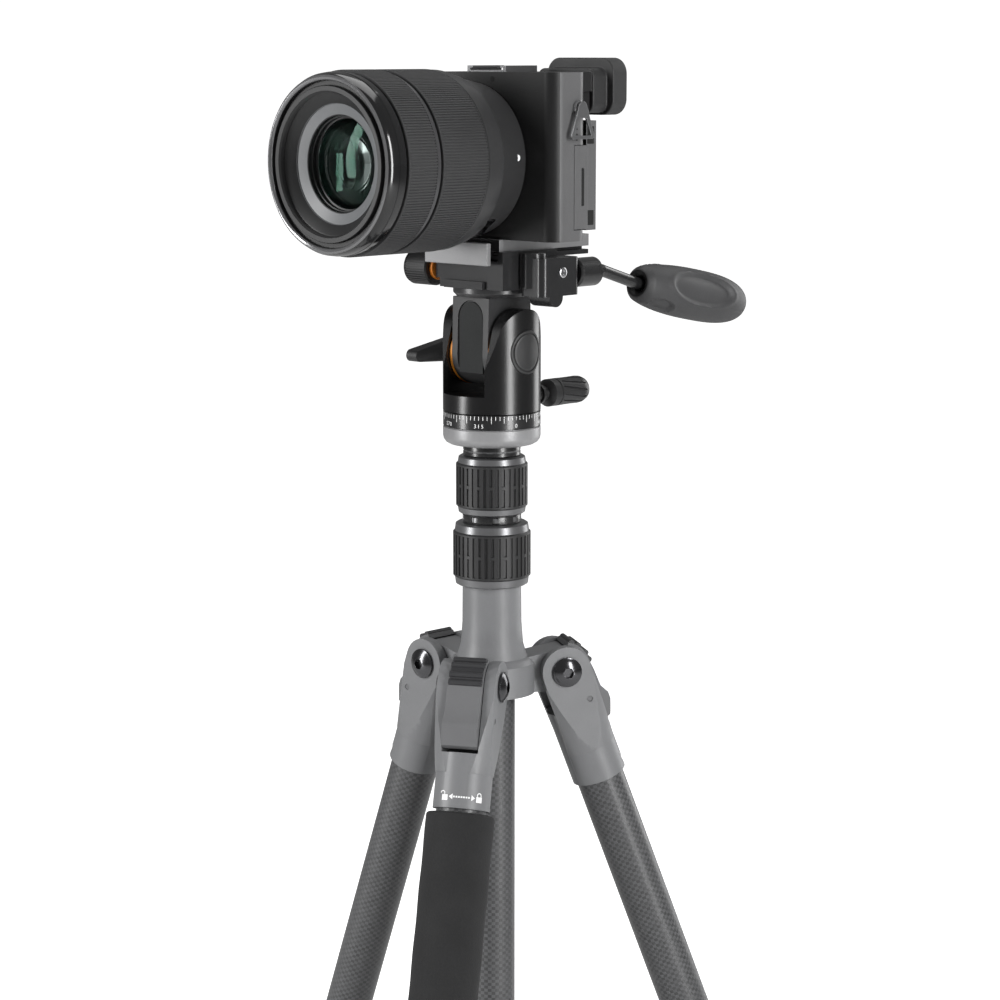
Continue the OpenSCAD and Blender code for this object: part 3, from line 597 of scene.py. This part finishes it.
def numeral(character, size):
    """One printed character, centred, its height given in millimetres, lying flat."""
    curve = bpy.data.curves.new("numeral", "FONT")
    curve.body = character
    curve.size = size
    curve.align_x, curve.align_y = "CENTER", "CENTER"
    curve.extrude = 0.03
    curve.resolution_u = 3
    holder = bpy.data.objects.new("numeral", curve)
    bpy.context.collection.objects.link(holder)
    bpy.context.view_layer.update()
    shape = bmesh.new()
    mesh = bpy.data.meshes.new_from_object(holder.evaluated_get(bpy.context.evaluated_depsgraph_get()))
    shape.from_mesh(mesh)
    bmesh.ops.remove_doubles(shape, verts=shape.verts, dist=0.0001)
    bpy.data.objects.remove(holder)
    bpy.data.meshes.remove(mesh)
    return shape


ZERO_TURN = -16.5
marks = []
for degrees in range(0, 360, 5):
    length = 2.9 if degrees % 15 == 0 and degrees % 45 else 1.6
    tick = slab([(-0.11, -length), (0.11, -length), (0.11, 0), (-0.11, 0)], 0.05)
    marks.append(placed(tick, on_rim(ZERO_TURN - degrees, 20.29, 515.6)))
    if degrees % 45 == 0:
        label = str((360 - degrees) % 360)
        for i, character in enumerate(label):
            turn = ZERO_TURN - degrees + (i - (len(label) - 1) / 2) * 4.4
            marks.append(placed(numeral(character, 2.3), on_rim(turn, 20.31, 511.5)))
piece("pan_scale_print", "inner_column", white_print, *marks)

# ---------- Fork ----------
# Die-cast fork in semi-gloss black, which turns on the base and carries the tilt shaft. An oval cap,
# bent to the fork's round side, closes the shaft's bore.

fork_coat = finish("semi-gloss black coat", (0.006, 0.006, 0.0063), 0.24, fineness=2400, depth=0.008,
                   variation=0.14)
softened("fork_casting", "pan_fork", fork_coat, "fork", 1.3, segments=4, corner=32, slot="black_metal",
         crease=50)
cap = turned([(0, 0.6), (0.35, 0.62), (0.7, 0.6), (0.8, 0.55), (0.83, 0.4), (0.835, 0.02), (0.875, 0.02),
              (0.88, 0.45), (0.9, 0.58), (0.95, 0.6), (0.98, 0.5), (1, 0.15), (1, -1), (0, -1)], 64)
CAP_WIDE, CAP_TALL, CAP_Z, BEND = 8.5, 9.1, 541.5, 20.4
for vert in cap.verts:
    across, up, out = vert.co.x * CAP_WIDE / BEND, vert.co.y * CAP_TALL, vert.co.z
    vert.co = ((BEND + out) * cos(across), (BEND + out) * sin(across), CAP_Z + up)
cap_plastic = finish("matt black cap", (0.016, 0.016, 0.0165), 0.48, fineness=2000, depth=0.008)
piece("fork_side_cap", "pan_fork", cap_plastic, cap, stands_for=["fork_cap"], slot="cap_plastic")

# ---------- Tilt block ----------
# Cast block between the arms, in satin grey paint with a matt dark panel sunk in its front, and an
# orange friction disc on each side.


def facing_front(outline, depth, front, edge=0.2):
    """Plate drawn in X and Z, whose front face stands at a depth and looks towards the lens."""
    return placed(slab(outline, depth, edge), spot((0, front + depth, 0), 90, "X"))


block_paint = finish("satin dark grey paint", (0.033, 0.033, 0.034), 0.3, fineness=2600, depth=0.008,
                     variation=0.14)
softened("tilt_casting", "tilt_head", block_paint, "tilt_block", 0.8, slot="black_metal", crease=50)
PANEL_R = 6.8
panel = [(-PANEL_R, 532.3), (PANEL_R, 532.3)] + arc(0, 555, PANEL_R, 0, 180, 24)
matt_panel = finish("matt dark panel", (0.01, 0.011, 0.0112), 0.62, fineness=1600, depth=0.02, variation=0.16,
                    shine=0.25)
piece("tilt_front_panel", "tilt_head", matt_panel, facing_front(panel, 0.6, -12.35))
disc_orange = finish("orange friction disc", (0.72, 0.26, 0.03), 0.35, fineness=2600, depth=0.005)
repaint("friction_discs", disc_orange)

# ---------- Knobs of the head ----------
# A two-bladed wing locks the tilt, and a fluted knob on a thin neck locks the pan. Both are moulded
# over steel screws.

knob_rubber = finish("moulded knob", (0.013, 0.013, 0.0135), 0.4, fineness=2200, depth=0.012, variation=0.14)
softened("tilt_wing", "tilt_knob", knob_rubber, "tilt_knob", 0.9, slot="knob_rubber", crease=60)
FLUTES_FROM, LEAD = 11.2, 0.03
knob = turned([(0, 0), (4.2, 0), (4.2, 1.2), (3, 1.6), (3, 4.2), (4.6, 4.6), (5.9, 5.9), (5.9, 9.4),
               (5.6, 9.7), (5.6, 10), (5.9, 10.3), (5.9, FLUTES_FROM), (5.9, 23.4), (5.7, 25.4), (4.9, 27.4),
               (3.6, 28.3), (0, 28.6)], steps=48)
flutes = strips(knob, 5.5, FLUTES_FROM, 25, steps=48, every=4, wanted=(0,))
bmesh.ops.inset_region(knob, faces=flutes, thickness=0.1, depth=-0.5, use_even_offset=True)
for vert in knob.verts:
    if vert.co.z > FLUTES_FROM:
        x, y, lead = vert.co.x, vert.co.y, (vert.co.z - FLUTES_FROM) * LEAD
        vert.co.xy = (x * cos(lead) - y * sin(lead), x * sin(lead) + y * cos(lead))
along_y = spot((0, 27.9, 519.9), -90, "X")
piece("pan_lock_knob", "pan_knob", knob_rubber, placed(knob, along_y),
      placed(turned([(0, -19.2), (2, -19.2), (2, 0.4), (0, 0.4)], 32), along_y),
      stands_for=["pan_knob"], slot="knob_rubber")

# ---------- Clamp ----------
# Machined clamp, black anodised, with a fixed jaw, a jaw that the ribbed knob draws in, and a bracket
# for the pan handle. An orange washer sits under the knob.

clamp_black = finish("black anodised clamp", (0.027, 0.027, 0.028), 0.25, fineness=3000, depth=0.005,
                     variation=0.14, metallic=0.3)
softened("clamp_casting", "tilt_head", clamp_black, "clamp_body", 0.5, slot="clamp_metal", crease=45)
softened("clamp_moving_jaw", "clamp_jaw", clamp_black, "clamp_jaw", 0.5, slot="clamp_metal", crease=45)
screw = turned([(0, 0), (2.1, 0), (2.1, 0.8), (1.8, 1.0), (1.2, 1.0), (1.1, 0.4), (0, 0.4)], 24)
steel = finish("bright steel", (0.55, 0.55, 0.56), 0.22, fineness=3000, depth=0.003, variation=0.1,
               metallic=1.0)
piece("bracket_screw", "tilt_head", steel,
      placed(screw, spot((33.4, 6.5, 574.5), 90, "Y")))

KNOB_RIBS = 40
wheel = turned([(0, 0), (6.9, 0), (7.2, 0.3), (7.5, 0.6), (7.5, 12.2), (7.1, 13.2), (6.3, 14), (5.4, 14.3),
                (5.1, 14), (0, 14)], steps=2 * KNOB_RIBS)
valleys = strips(wheel, 7.4, 0.6, 12.2, steps=2 * KNOB_RIBS)
bmesh.ops.inset_region(wheel, faces=valleys, thickness=0.06, depth=-0.35, use_even_offset=True)
to_left = spot((-28.6, -3, 573.7), -90, "Y")
piece("clamp_knob_wheel", "clamp_knob", knob_rubber, placed(wheel, to_left),
      placed(turned([(0, -36.6), (1.6, -36.6), (1.6, 0.2), (0, 0.2)], 32), to_left),
      stands_for=["clamp_knob"], slot="knob_rubber")
washer_orange = finish("orange washer", (0.65, 0.2, 0.02), 0.4, fineness=2600, depth=0.005)
piece("clamp_knob_washer", "clamp_knob", washer_orange,
      placed(turned([(1.7, -1.6), (4.8, -1.6), (5, -1.4), (5, -0.1), (1.7, -0.1)], 64, closed=True), to_left))

# ---------- Quick-release plate ----------
# Extruded and anodised plate with a dovetail below, a spring-loaded stop at its front on two rods,
# and the screw that goes into the camera.

plate_grey = finish("grey anodised plate", (0.24, 0.24, 0.244), 0.36, fineness=3000, depth=0.005,
                    metallic=0.35)
plate = soften(cad_copy("quick_release_plate"), 0.35, segments=2, corner=30)
DOVETAIL_TOP = 582.9
for face in plate.faces:
    face.material_index = int(face.calc_center_median().z < DOVETAIL_TOP)
piece("release_plate", "camera", plate_grey, plate, stands_for=["quick_release_plate"],
      slot="light_grey_metal", crease=45, accents=[clamp_black])
softened("plate_front_stop", "camera", plate_grey, "phone_jaw", 0.5, slot="light_grey_metal", crease=45)
softened("camera_mount_screw", "camera", steel, "camera_screw", 0.25, segments=2, corner=35)

# ---------- Pan handle ----------
# Bent steel rod in a turned socket, with a moulded rubber grip. The grip has an oval hollow for the
# thumb on both sides and two small scallops at its mouth.

softened("handle_bent_rod", "handle", black_satin, "handle_rod", 0.4, slot="black_metal", crease=50)
GRIP_R, GRIP_MIDDLE, GRIP_LONG = 11, 37, 70
grip_outline = [(0, 48), (2.6, 48), (2.6, 3.6), (3.4, 2.0), (5.0, 0.7), (5.7, 0.7), (6.3, 1.4)]
for i in range(64):
    z = 3 + i * (GRIP_LONG - 3.4) / 64
    reach = (GRIP_MIDDLE - z) / 44 if z < GRIP_MIDDLE else (z - GRIP_MIDDLE) / (GRIP_LONG - GRIP_MIDDLE)
    blunt = 2.3 if z < GRIP_MIDDLE else 2.9
    grip_outline.append((GRIP_R * (1 - reach ** blunt) ** (1 / blunt), z))
grip = turned(grip_outline + [(0, GRIP_LONG)], 128)
HOLLOWS = (  # turn about the grip, distance along it, half length, half width, depth
    (-14, 34, 20.5, 7.6, 1.6), (166, 34, 20.5, 7.6, 1.6), (58, 12, 7, 4.2, 1.1), (-122, 12, 7, 4.2, 1.1))
MOUTH_R = 5.5
for vert in grip.verts:
    radius = hypot(vert.co.x, vert.co.y)
    if radius < MOUTH_R:
        continue
    turn = atan2(vert.co.y, vert.co.x)
    for at, along, half_long, half_wide, depth in HOLLOWS:
        swing = (turn - radians(at) + pi) % tau - pi
        reach = hypot((vert.co.z - along) / half_long, swing * radius / half_wide)
        sunk = depth * min(1, max(0, (1 - reach) / 0.14))
        rim = 0.4 * max(0, 1 - abs(reach - 1.03) / 0.12)
        vert.co.xy = vert.co.xy * (1 + (rim - sunk) / radius)
ROD_SLOPE = radians(17)
grip_place = spot((28.5, 58, 573.5 - 22 * sin(ROD_SLOPE) / cos(ROD_SLOPE)), -101, "X")
grip_rubber = finish("soft grip rubber", (0.04, 0.04, 0.0415), 0.55, fineness=1700, depth=0.02,
                     variation=0.14)
for face in grip.faces:
    face.material_index = int(where(face)[0] < 5.4 and where(face)[1] < 10)
piece("handle_rubber_grip", "handle", grip_rubber, placed(grip, grip_place), stands_for=["handle_grip"],
      slot="knob_rubber", crease=60, accents=[lock_rubber])

# ---------- Camera body ----------
# Moulded and painted shell with a top cover. The hand grip and the front are skinned in leatherette;
# the side by the sockets takes a lighter grey copy of the black paint: painted light from the lamp there.

shell_black = finish("black crackle paint", (0.011, 0.011, 0.0113), 0.45, fineness=1500, depth=0.02,
                     variation=0.14, shine=0.3)
# The side paint is the shell's black made lighter: painted light on faces towards the right-hand lamp.
lit_side_grey = finish("side paint with painted light", (0.095, 0.095, 0.097), 0.5, fineness=1500, depth=0.02)
leather = finish("leatherette", (0.012, 0.012, 0.0125), 0.6, fineness=650, depth=0.16, variation=0.2)
body_shape = soften(cad_copy("camera_body"), 0.8, segments=3, corner=30)
# Faces that look out to the socket side get the lighter grey side paint, which is painted light.
for face in body_shape.faces:
    middle, normal = face.calc_center_median(), face.normal
    if abs(normal.x) > 0.9 and middle.x > 44:
        face.material_index = 1
    elif middle.x < -45.5 and 590 < middle.z < 646 and normal.z ** 2 < 0.5 and middle.y < -1:
        face.material_index = 2
piece("camera_shell", "camera", shell_black, body_shape, stands_for=["camera_body"], slot="camera_shell",
      crease=45, accents=[lit_side_grey, leather])

shoe_metal = finish("shoe rail metal", (0.2, 0.2, 0.205), 0.3, fineness=3000, depth=0.004,
                    metallic=0.7)
cover_shape = soften(cad_copy("top_cover"), 0.6, segments=3, corner=30)
# The cover's faces that look to the socket side get the same lighter grey: painted light.
for face in cover_shape.faces:
    middle, normal = face.calc_center_median(), face.normal
    if middle.z > 655.3 and -7 < middle.x < 17:
        face.material_index = 2
    elif normal.x > 0.9 and middle.x > 44:
        face.material_index = 1
piece("camera_top_cover", "camera", shell_black, cover_shape, stands_for=["top_cover"],
      slot="camera_shell", crease=45, accents=[lit_side_grey, shoe_metal])


def facing_side(outline, depth, face, edge=0.0):
    """Plate drawn in Y and Z, whose outer face stands at X = face and looks to the socket side."""
    place = Matrix(((0, 0, 1, face - depth), (1, 0, 0, 0), (0, 1, 0, 0), (0, 0, 0, 1)))
    return placed(slab(outline, depth, edge), place)


# Near-black discs stand in for the microphone holes: painted shade where the holes are.
painted_hole_shade = finish("painted shade of openings", (0.002, 0.002, 0.002), 0.8, fineness=2000, depth=0.004, variation=0.1)
holes = [facing_side(arc(1.2, height, 0.42, 0, 330, 11), 0.2, 46.06) for height in (628.4, 630.5, 632.6)]
holes.append(facing_front([(x + 12, z + 652.2) for x, z in arc(0, 0, 1.2, 0, 330, 11)], 0.3, -12.08, edge=0))
piece("microphone_holes", "camera", painted_hole_shade, *holes)
bosses = []
for x, towards in ((46, 90), (-74, -90)):
    boss = turned([(0, 0), (2.6, 0), (2.9, 0.3), (2.9, 1.3), (2.5, 1.7), (1.5, 1.75), (1.5, 1), (0, 1)], 40)
    bosses.append(placed(boss, spot((x, 1.5, 641), towards, "Y")))
piece("lug_boss", "camera", steel, *bosses)

# ---------- Doors, screen and eyecup ----------
# Two doors snap into the shell, the screen tilts on an arm behind it, and a soft rubber cup is
# clipped round the viewfinder's window.

# The socket door is in the lighter grey side paint: painted light on that side.
softened("socket_door", "terminal_door", lit_side_grey, "terminal_door", 0.18, segments=2, slot="camera_shell")
# The slot in the door is a flat near-black mark: painted shade.
piece("socket_door_slot", "terminal_door", painted_hole_shade,
      facing_side(arc(5, 616.3, 0.72, 0, 180, 8) + arc(5, 602.7, 0.72, 180, 360, 8), 0.4, 45.99))
softened("battery_cover", "battery_door", shell_black, "battery_door", 0.3, segments=2, slot="camera_shell")
screen_shape = soften(cad_copy("screen"), 0.7, segments=3, corner=30)
SCREEN_MIDDLE, SCREEN_REACH = 7.5, 36
# The screen frame's left and right edges get the lighter grey side paint: painted light.
for face in screen_shape.faces:
    from_middle = abs(face.calc_center_median().x - SCREEN_MIDDLE)
    face.material_index = int(abs(face.normal.x) > 0.8 and from_middle > SCREEN_REACH)
piece("screen_frame", "screen", shell_black, screen_shape, stands_for=["screen"], slot="camera_shell",
      crease=45, accents=[lit_side_grey])
# Two near-black blocks at the hinge are painted shade in the gap between screen and body.
piece("screen_hinge_shade", "screen", painted_hole_shade, block((43.4, 9.6, 626.5), (44.25, 13.6, 633.5), 0.3),
      block((43.4, 9.6, 594), (44.25, 13.6, 600), 0.3))
screen_glass = finish("screen glass", (0.006, 0.007, 0.009), 0.06, fineness=900, depth=0.001, variation=0.05,
                      coat=1.0)
piece("screen_cover_glass", "screen", screen_glass, block((-27, 14.6, 595), (41, 15.15, 633), 0.2))
eyecup_rubber = finish("eyecup rubber", (0.02, 0.02, 0.0205), 0.55, fineness=1600, depth=0.02)
softened("eyecup_moulding", "camera", eyecup_rubber, "eyecup", 1.1, segments=4, slot="knob_rubber", crease=50)
piece("eyepiece_glass", "camera", screen_glass, block((14.7, 25.6, 641.7), (36.8, 26.6, 656.3), 0.25))

# ---------- Controls ----------
# Turned and knurled dials, a dished shutter button in its lever, and the round button that frees
# the lens. The numbers on the mode dial are plain positions.


DECK_Z, MODE_DIAL_X, MODES = 650.2, -36, 8


def knurled_dial(dial_name, x, y, radius, height, teeth):
    """Dial with a knurled rim, standing on the top cover."""
    top = DECK_Z + height
    dial = turned([(0, DECK_Z - 0.8), (2, DECK_Z - 0.8), (2, DECK_Z), (radius - 0.3, DECK_Z),
                   (radius, DECK_Z + 0.3), (radius, top - 0.8), (radius - 0.4, top - 0.3),
                   (radius - 0.8, top - 0.2), (radius - 1.1, top - 0.35), (0, top - 0.35)], steps=2 * teeth)
    notches = strips(dial, radius - 0.1, DECK_Z, top - 0.7, steps=2 * teeth)
    bmesh.ops.inset_region(dial, faces=notches, thickness=0.06, depth=-0.3, use_even_offset=True)
    piece(f"{dial_name}_knob", dial_name, dial_black, placed(dial, Matrix.Translation((x, y, 0))),
          stands_for=[dial_name], slot="camera_shell")


dial_black = finish("black dial", (0.02, 0.02, 0.0205), 0.35, fineness=2500, depth=0.005,
                    metallic=0.2)
knurled_dial("mode_dial", MODE_DIAL_X, 0, radius=8.2, height=4.7, teeth=36)
knurled_dial("control_dial", -58, 2, radius=6.4, height=3.8, teeth=32)
figures = []
for i in range(MODES):
    turn = 360 * i / MODES
    point = (MODE_DIAL_X + 5.4 * cos(radians(turn)), 5.4 * sin(radians(turn)), 654.56)
    figures.append(placed(numeral(str(i + 1), 2.2), spot(point, turn - 90, "Z")))
piece("mode_dial_print", "mode_dial", white_print, *figures)
button_metal = finish("satin button", (0.1, 0.1, 0.103), 0.3, fineness=3000, depth=0.004,
                      metallic=0.5)
piece("shutter_release", "shutter_button", button_metal,
      placed(turned([(0, 642), (3.6, 642), (3.6, 649), (4.2, 649.4), (4.3, 650.4), (3.9, 651), (3, 651.1),
                     (1.5, 650.8), (0, 650.7)], 48), Matrix.Translation((-60, -20, 0))),
      stands_for=["shutter_button"], slot="light_grey_metal")
softened("power_switch", "power_lever", dial_black, "power_lever", 0.35, slot="camera_shell")
softened("release_button", "lens_release_button", dial_black, "lens_release_button", 0.5, slot="camera_shell")
softened("strap_triangles", "strap_rings", satin_trim, "strap_rings", 0.2, segments=2,
         slot="light_grey_metal")

# ---------- Lens barrel ----------
# Turned and anodised barrel: a tapered mount end with the white index dot, two collars, and the
# sleeve that the rubber rings run on.

LENS_Z = 620
lens = spot((0, 0, LENS_Z), -90, "X")
lens_satin = finish("satin black anodising", (0.038, 0.038, 0.039), 0.34, fineness=2800, depth=0.006,
                    metallic=0.2)
BAND_FROM, BAND_TO = -66.3, -64.3
barrel = turned([(20, -12.7), (30.9, -12.7), (31.2, -14.2), (34, -28.3), (34.1, -28.6), (34.5, -28.7),
                 (34.8, -29.1), (34.8, -33.2), (34.6, -33.5), (35.7, -33.8), (36, -34.1), (36, -38),
                 (35.7, -38.3), (33.3, -38.3), (33.3, BAND_TO), (35.2, BAND_TO), (35.5, -64.6), (35.5, -66),
                 (35.2, BAND_FROM), (33.3, BAND_FROM), (33.3, -82.2), (32.6, -82.2), (32.6, -25), (20, -25)],
                128, closed=True)
for face in barrel.faces:
    radius, height, _ = where(face)
    face.material_index = int(BAND_FROM < height < BAND_TO and radius > 33.5)
divider = finish("divider band", (0.09, 0.09, 0.093), 0.3, fineness=3000, depth=0.004, variation=0.1,
                 metallic=0.5)
piece("lens_fixed_barrel", "camera", lens_satin, placed(barrel, lens), stands_for=["lens_barrel"],
      slot="lens_shell", accents=[divider])
piece("lens_index_dot", "camera", white_print,
      placed(slab(arc(0, 0, 1.3, 0, 345, 23), 0.12), lens @ on_rim(-2.5, 31.85, -18)))
tab = block((-5, -2.6, -0.3), (5, 2.6, 0.35), 0.3, 3)
piece("lens_tab", "camera", black_plate, placed(tab, lens @ on_rim(52, 33.2, -25.5)))

# ---------- Lens rings ----------
# Rubber sleeves with fine lengthwise ribs, stretched over the turning zoom and focus rings.

ring_rubber = finish("ribbed ring rubber", (0.03, 0.03, 0.031), 0.55, fineness=2200, depth=0.012)
RIBS, RING_R = 196, 36.25
for name, low, high in (("zoom_ring", -63.9, -38.7), ("focus_ring", -82.3, -66.7)):
    ring = turned([(33.4, low), (36, low), (RING_R, low + 0.25), (RING_R, low + 0.5), (RING_R, high - 0.5),
                   (RING_R, high - 0.25), (36, high), (33.4, high)], steps=2 * RIBS, closed=True)
    gaps = strips(ring, 36, low + 0.5, high - 0.5, steps=2 * RIBS)
    bmesh.ops.inset_individual(ring, faces=gaps, thickness=0.08, depth=-0.3, use_even_offset=True)
    piece(f"{name}_rubber", name, ring_rubber, placed(ring, lens), stands_for=[name], slot="ring_rubber",
          crease=30)

# ---------- Front barrel ----------
# Inner barrel that the zoom pushes out: gloss black outside, a polished rim, a deep groove, a dark
# cone with its thread, and a light grey retaining ring round the glass.

gloss_black = finish("gloss black enamel", (0.008, 0.008, 0.0085), 0.12, fineness=2600, depth=0.002,
                     variation=0.06, coat=0.4)
outline = [(0, -62), (13.5, -62), (15, -70), (17.3, -79), (17.6, -80.4), (18.2, -80.6), (18.2, -82.3),
           (18.6, -82.5), (18.8, -84.1), (19.2, -84.4), (23.3, -85.6), (23.5, -86.2), (27.2, -88.8)]
for i in range(4):
    outline += [(27.9, -89.0 - i * 0.5), (27.6, -89.25 - i * 0.5)]
outline += [(28, -91.1), (28.3, -91.4), (30.1, -91.4), (30.4, -91), (30.5, -89.6), (32.1, -89.6),
            (32.3, -91.2), (32.8, -91.8), (33.6, -92), (34.4, -91.6), (35.3, -89.8), (35.6, -87.3),
            (35.3, -87), (35.3, -86.7), (35.6, -86.4), (35.6, -83.2), (35.3, -82.8), (32.2, -82.8),
            (32.2, -48), (30.4, -48), (30.4, -58), (0, -58)]
front = turned(outline, 144)
ENAMEL, MATT, RETAINER, RIM = range(4)
for face in front.faces:
    radius, height, _ = where(face)
    face.material_index = ENAMEL
    if radius < 19:
        face.material_index = MATT
    elif radius < 23.4 and height < -80:
        face.material_index = RETAINER
    elif radius < 32.4 and height < -80:
        face.material_index = MATT
    elif 32.4 < radius < 34 and height < -91:
        face.material_index = RIM
matt_ring = finish("matt black inner ring", (0.012, 0.012, 0.0125), 0.42, fineness=2600, depth=0.006)
grey_retainer = finish("light grey retaining ring", (0.14, 0.145, 0.15), 0.38, fineness=3000, depth=0.004,
                       variation=0.08)
bright_rim = finish("polished rim", (0.2, 0.2, 0.205), 0.16, fineness=3000, depth=0.002, variation=0.06,
                    metallic=0.6)
piece("lens_front_barrel", "front_barrel", gloss_black, placed(front, lens), stands_for=["front_barrel"],
      slot="lens_front", accents=[matt_ring, grey_retainer, bright_rim])

# ---------- Glass ----------
# Domed front element and a coated one behind it, both seated in the front barrel. The coating's colour is
# painted reflection: green and teal with a highlight in the middle, and painted shade out to a dark magenta
# edge.

glass, tree, shader = blank_material("coated front glass")
shader.inputs["Transmission Weight"].default_value = 1.0
shader.inputs["Specular Tint"].default_value = (0.1, 0.28, 0.2, 1)
shader.inputs["Roughness"].default_value = 0.01
shader.inputs["IOR"].default_value = 1.45
tint = tree.nodes.new("ShaderNodeTexNoise")
tint.inputs["Scale"].default_value = 40
shades = tree.nodes.new("ShaderNodeMix")
shades.data_type = "RGBA"
shades.inputs["A"].default_value = (0.75, 0.95, 0.88, 1)
shades.inputs["B"].default_value = (0.85, 0.97, 0.95, 1)
coordinates = tree.nodes.new("ShaderNodeTexCoord")
tree.links.new(coordinates.outputs["Object"], tint.inputs["Vector"])
tree.links.new(tint.outputs["Fac"], shades.inputs["Factor"])
tree.links.new(shades.outputs["Result"], shader.inputs["Base Color"])
piece("front_element", "front_barrel", glass,
      placed(turned([(0, -77.5), (10, -77.8), (17.2, -79.2), (17.6, -80.2)] +
                    [(r / 2, -84.6 + 4.4 * (r / 35.2) ** 2) for r in range(35, -1, -1)], 96), lens),
      stands_for=["lens_glass"], slot="coated_glass")

REFLECTION_MIDDLE, REFLECTION_R = (0.003, -0.071, 0.6205), 0.014
painted_coating_reflection, tree, shader = blank_material("painted green coating reflection")
shader.inputs["Roughness"].default_value = 0.34
shader.inputs["Specular Tint"].default_value = (0.15, 1.0, 0.6, 1)
coordinates = tree.nodes.new("ShaderNodeTexCoord")
offset = tree.nodes.new("ShaderNodeVectorMath")
offset.operation = "DISTANCE"
tree.links.new(coordinates.outputs["Object"], offset.inputs[0])
offset.inputs[1].default_value = REFLECTION_MIDDLE
# The ramp's light teal and green middle is a painted reflection and highlight; its darkening outwards is
# painted shade.
ramp = tree.nodes.new("ShaderNodeValToRGB")
for place, colour in ((0.1, (0.02, 0.26, 0.17)), (0.2, (0.08, 0.5, 0.36)), (0.34, (0.03, 0.3, 0.18)),
                      (0.55, (0.012, 0.12, 0.08)), (0.85, (0.004, 0.014, 0.012))):
    ramp.color_ramp.elements.new(place).color = (*colour, 1)
ramp.color_ramp.elements[0].color = (0.1, 0.5, 0.4, 1)
ramp.color_ramp.elements[-1].color = (0.035, 0.006, 0.018, 1)
tree.links.new(math(tree, "MULTIPLY", offset.outputs["Value"], 1 / REFLECTION_R), ramp.inputs["Fac"])
tree.links.new(ramp.outputs["Color"], shader.inputs["Base Color"])
piece("second_element", "front_barrel", painted_coating_reflection,
      placed(turned([(0, -66), (14.2, -66), (14.2, -68)] +
                    [(r / 2, -72.5 + 4.5 * (r / 28.4) ** 2) for r in range(28, -1, -1)], 96), lens))
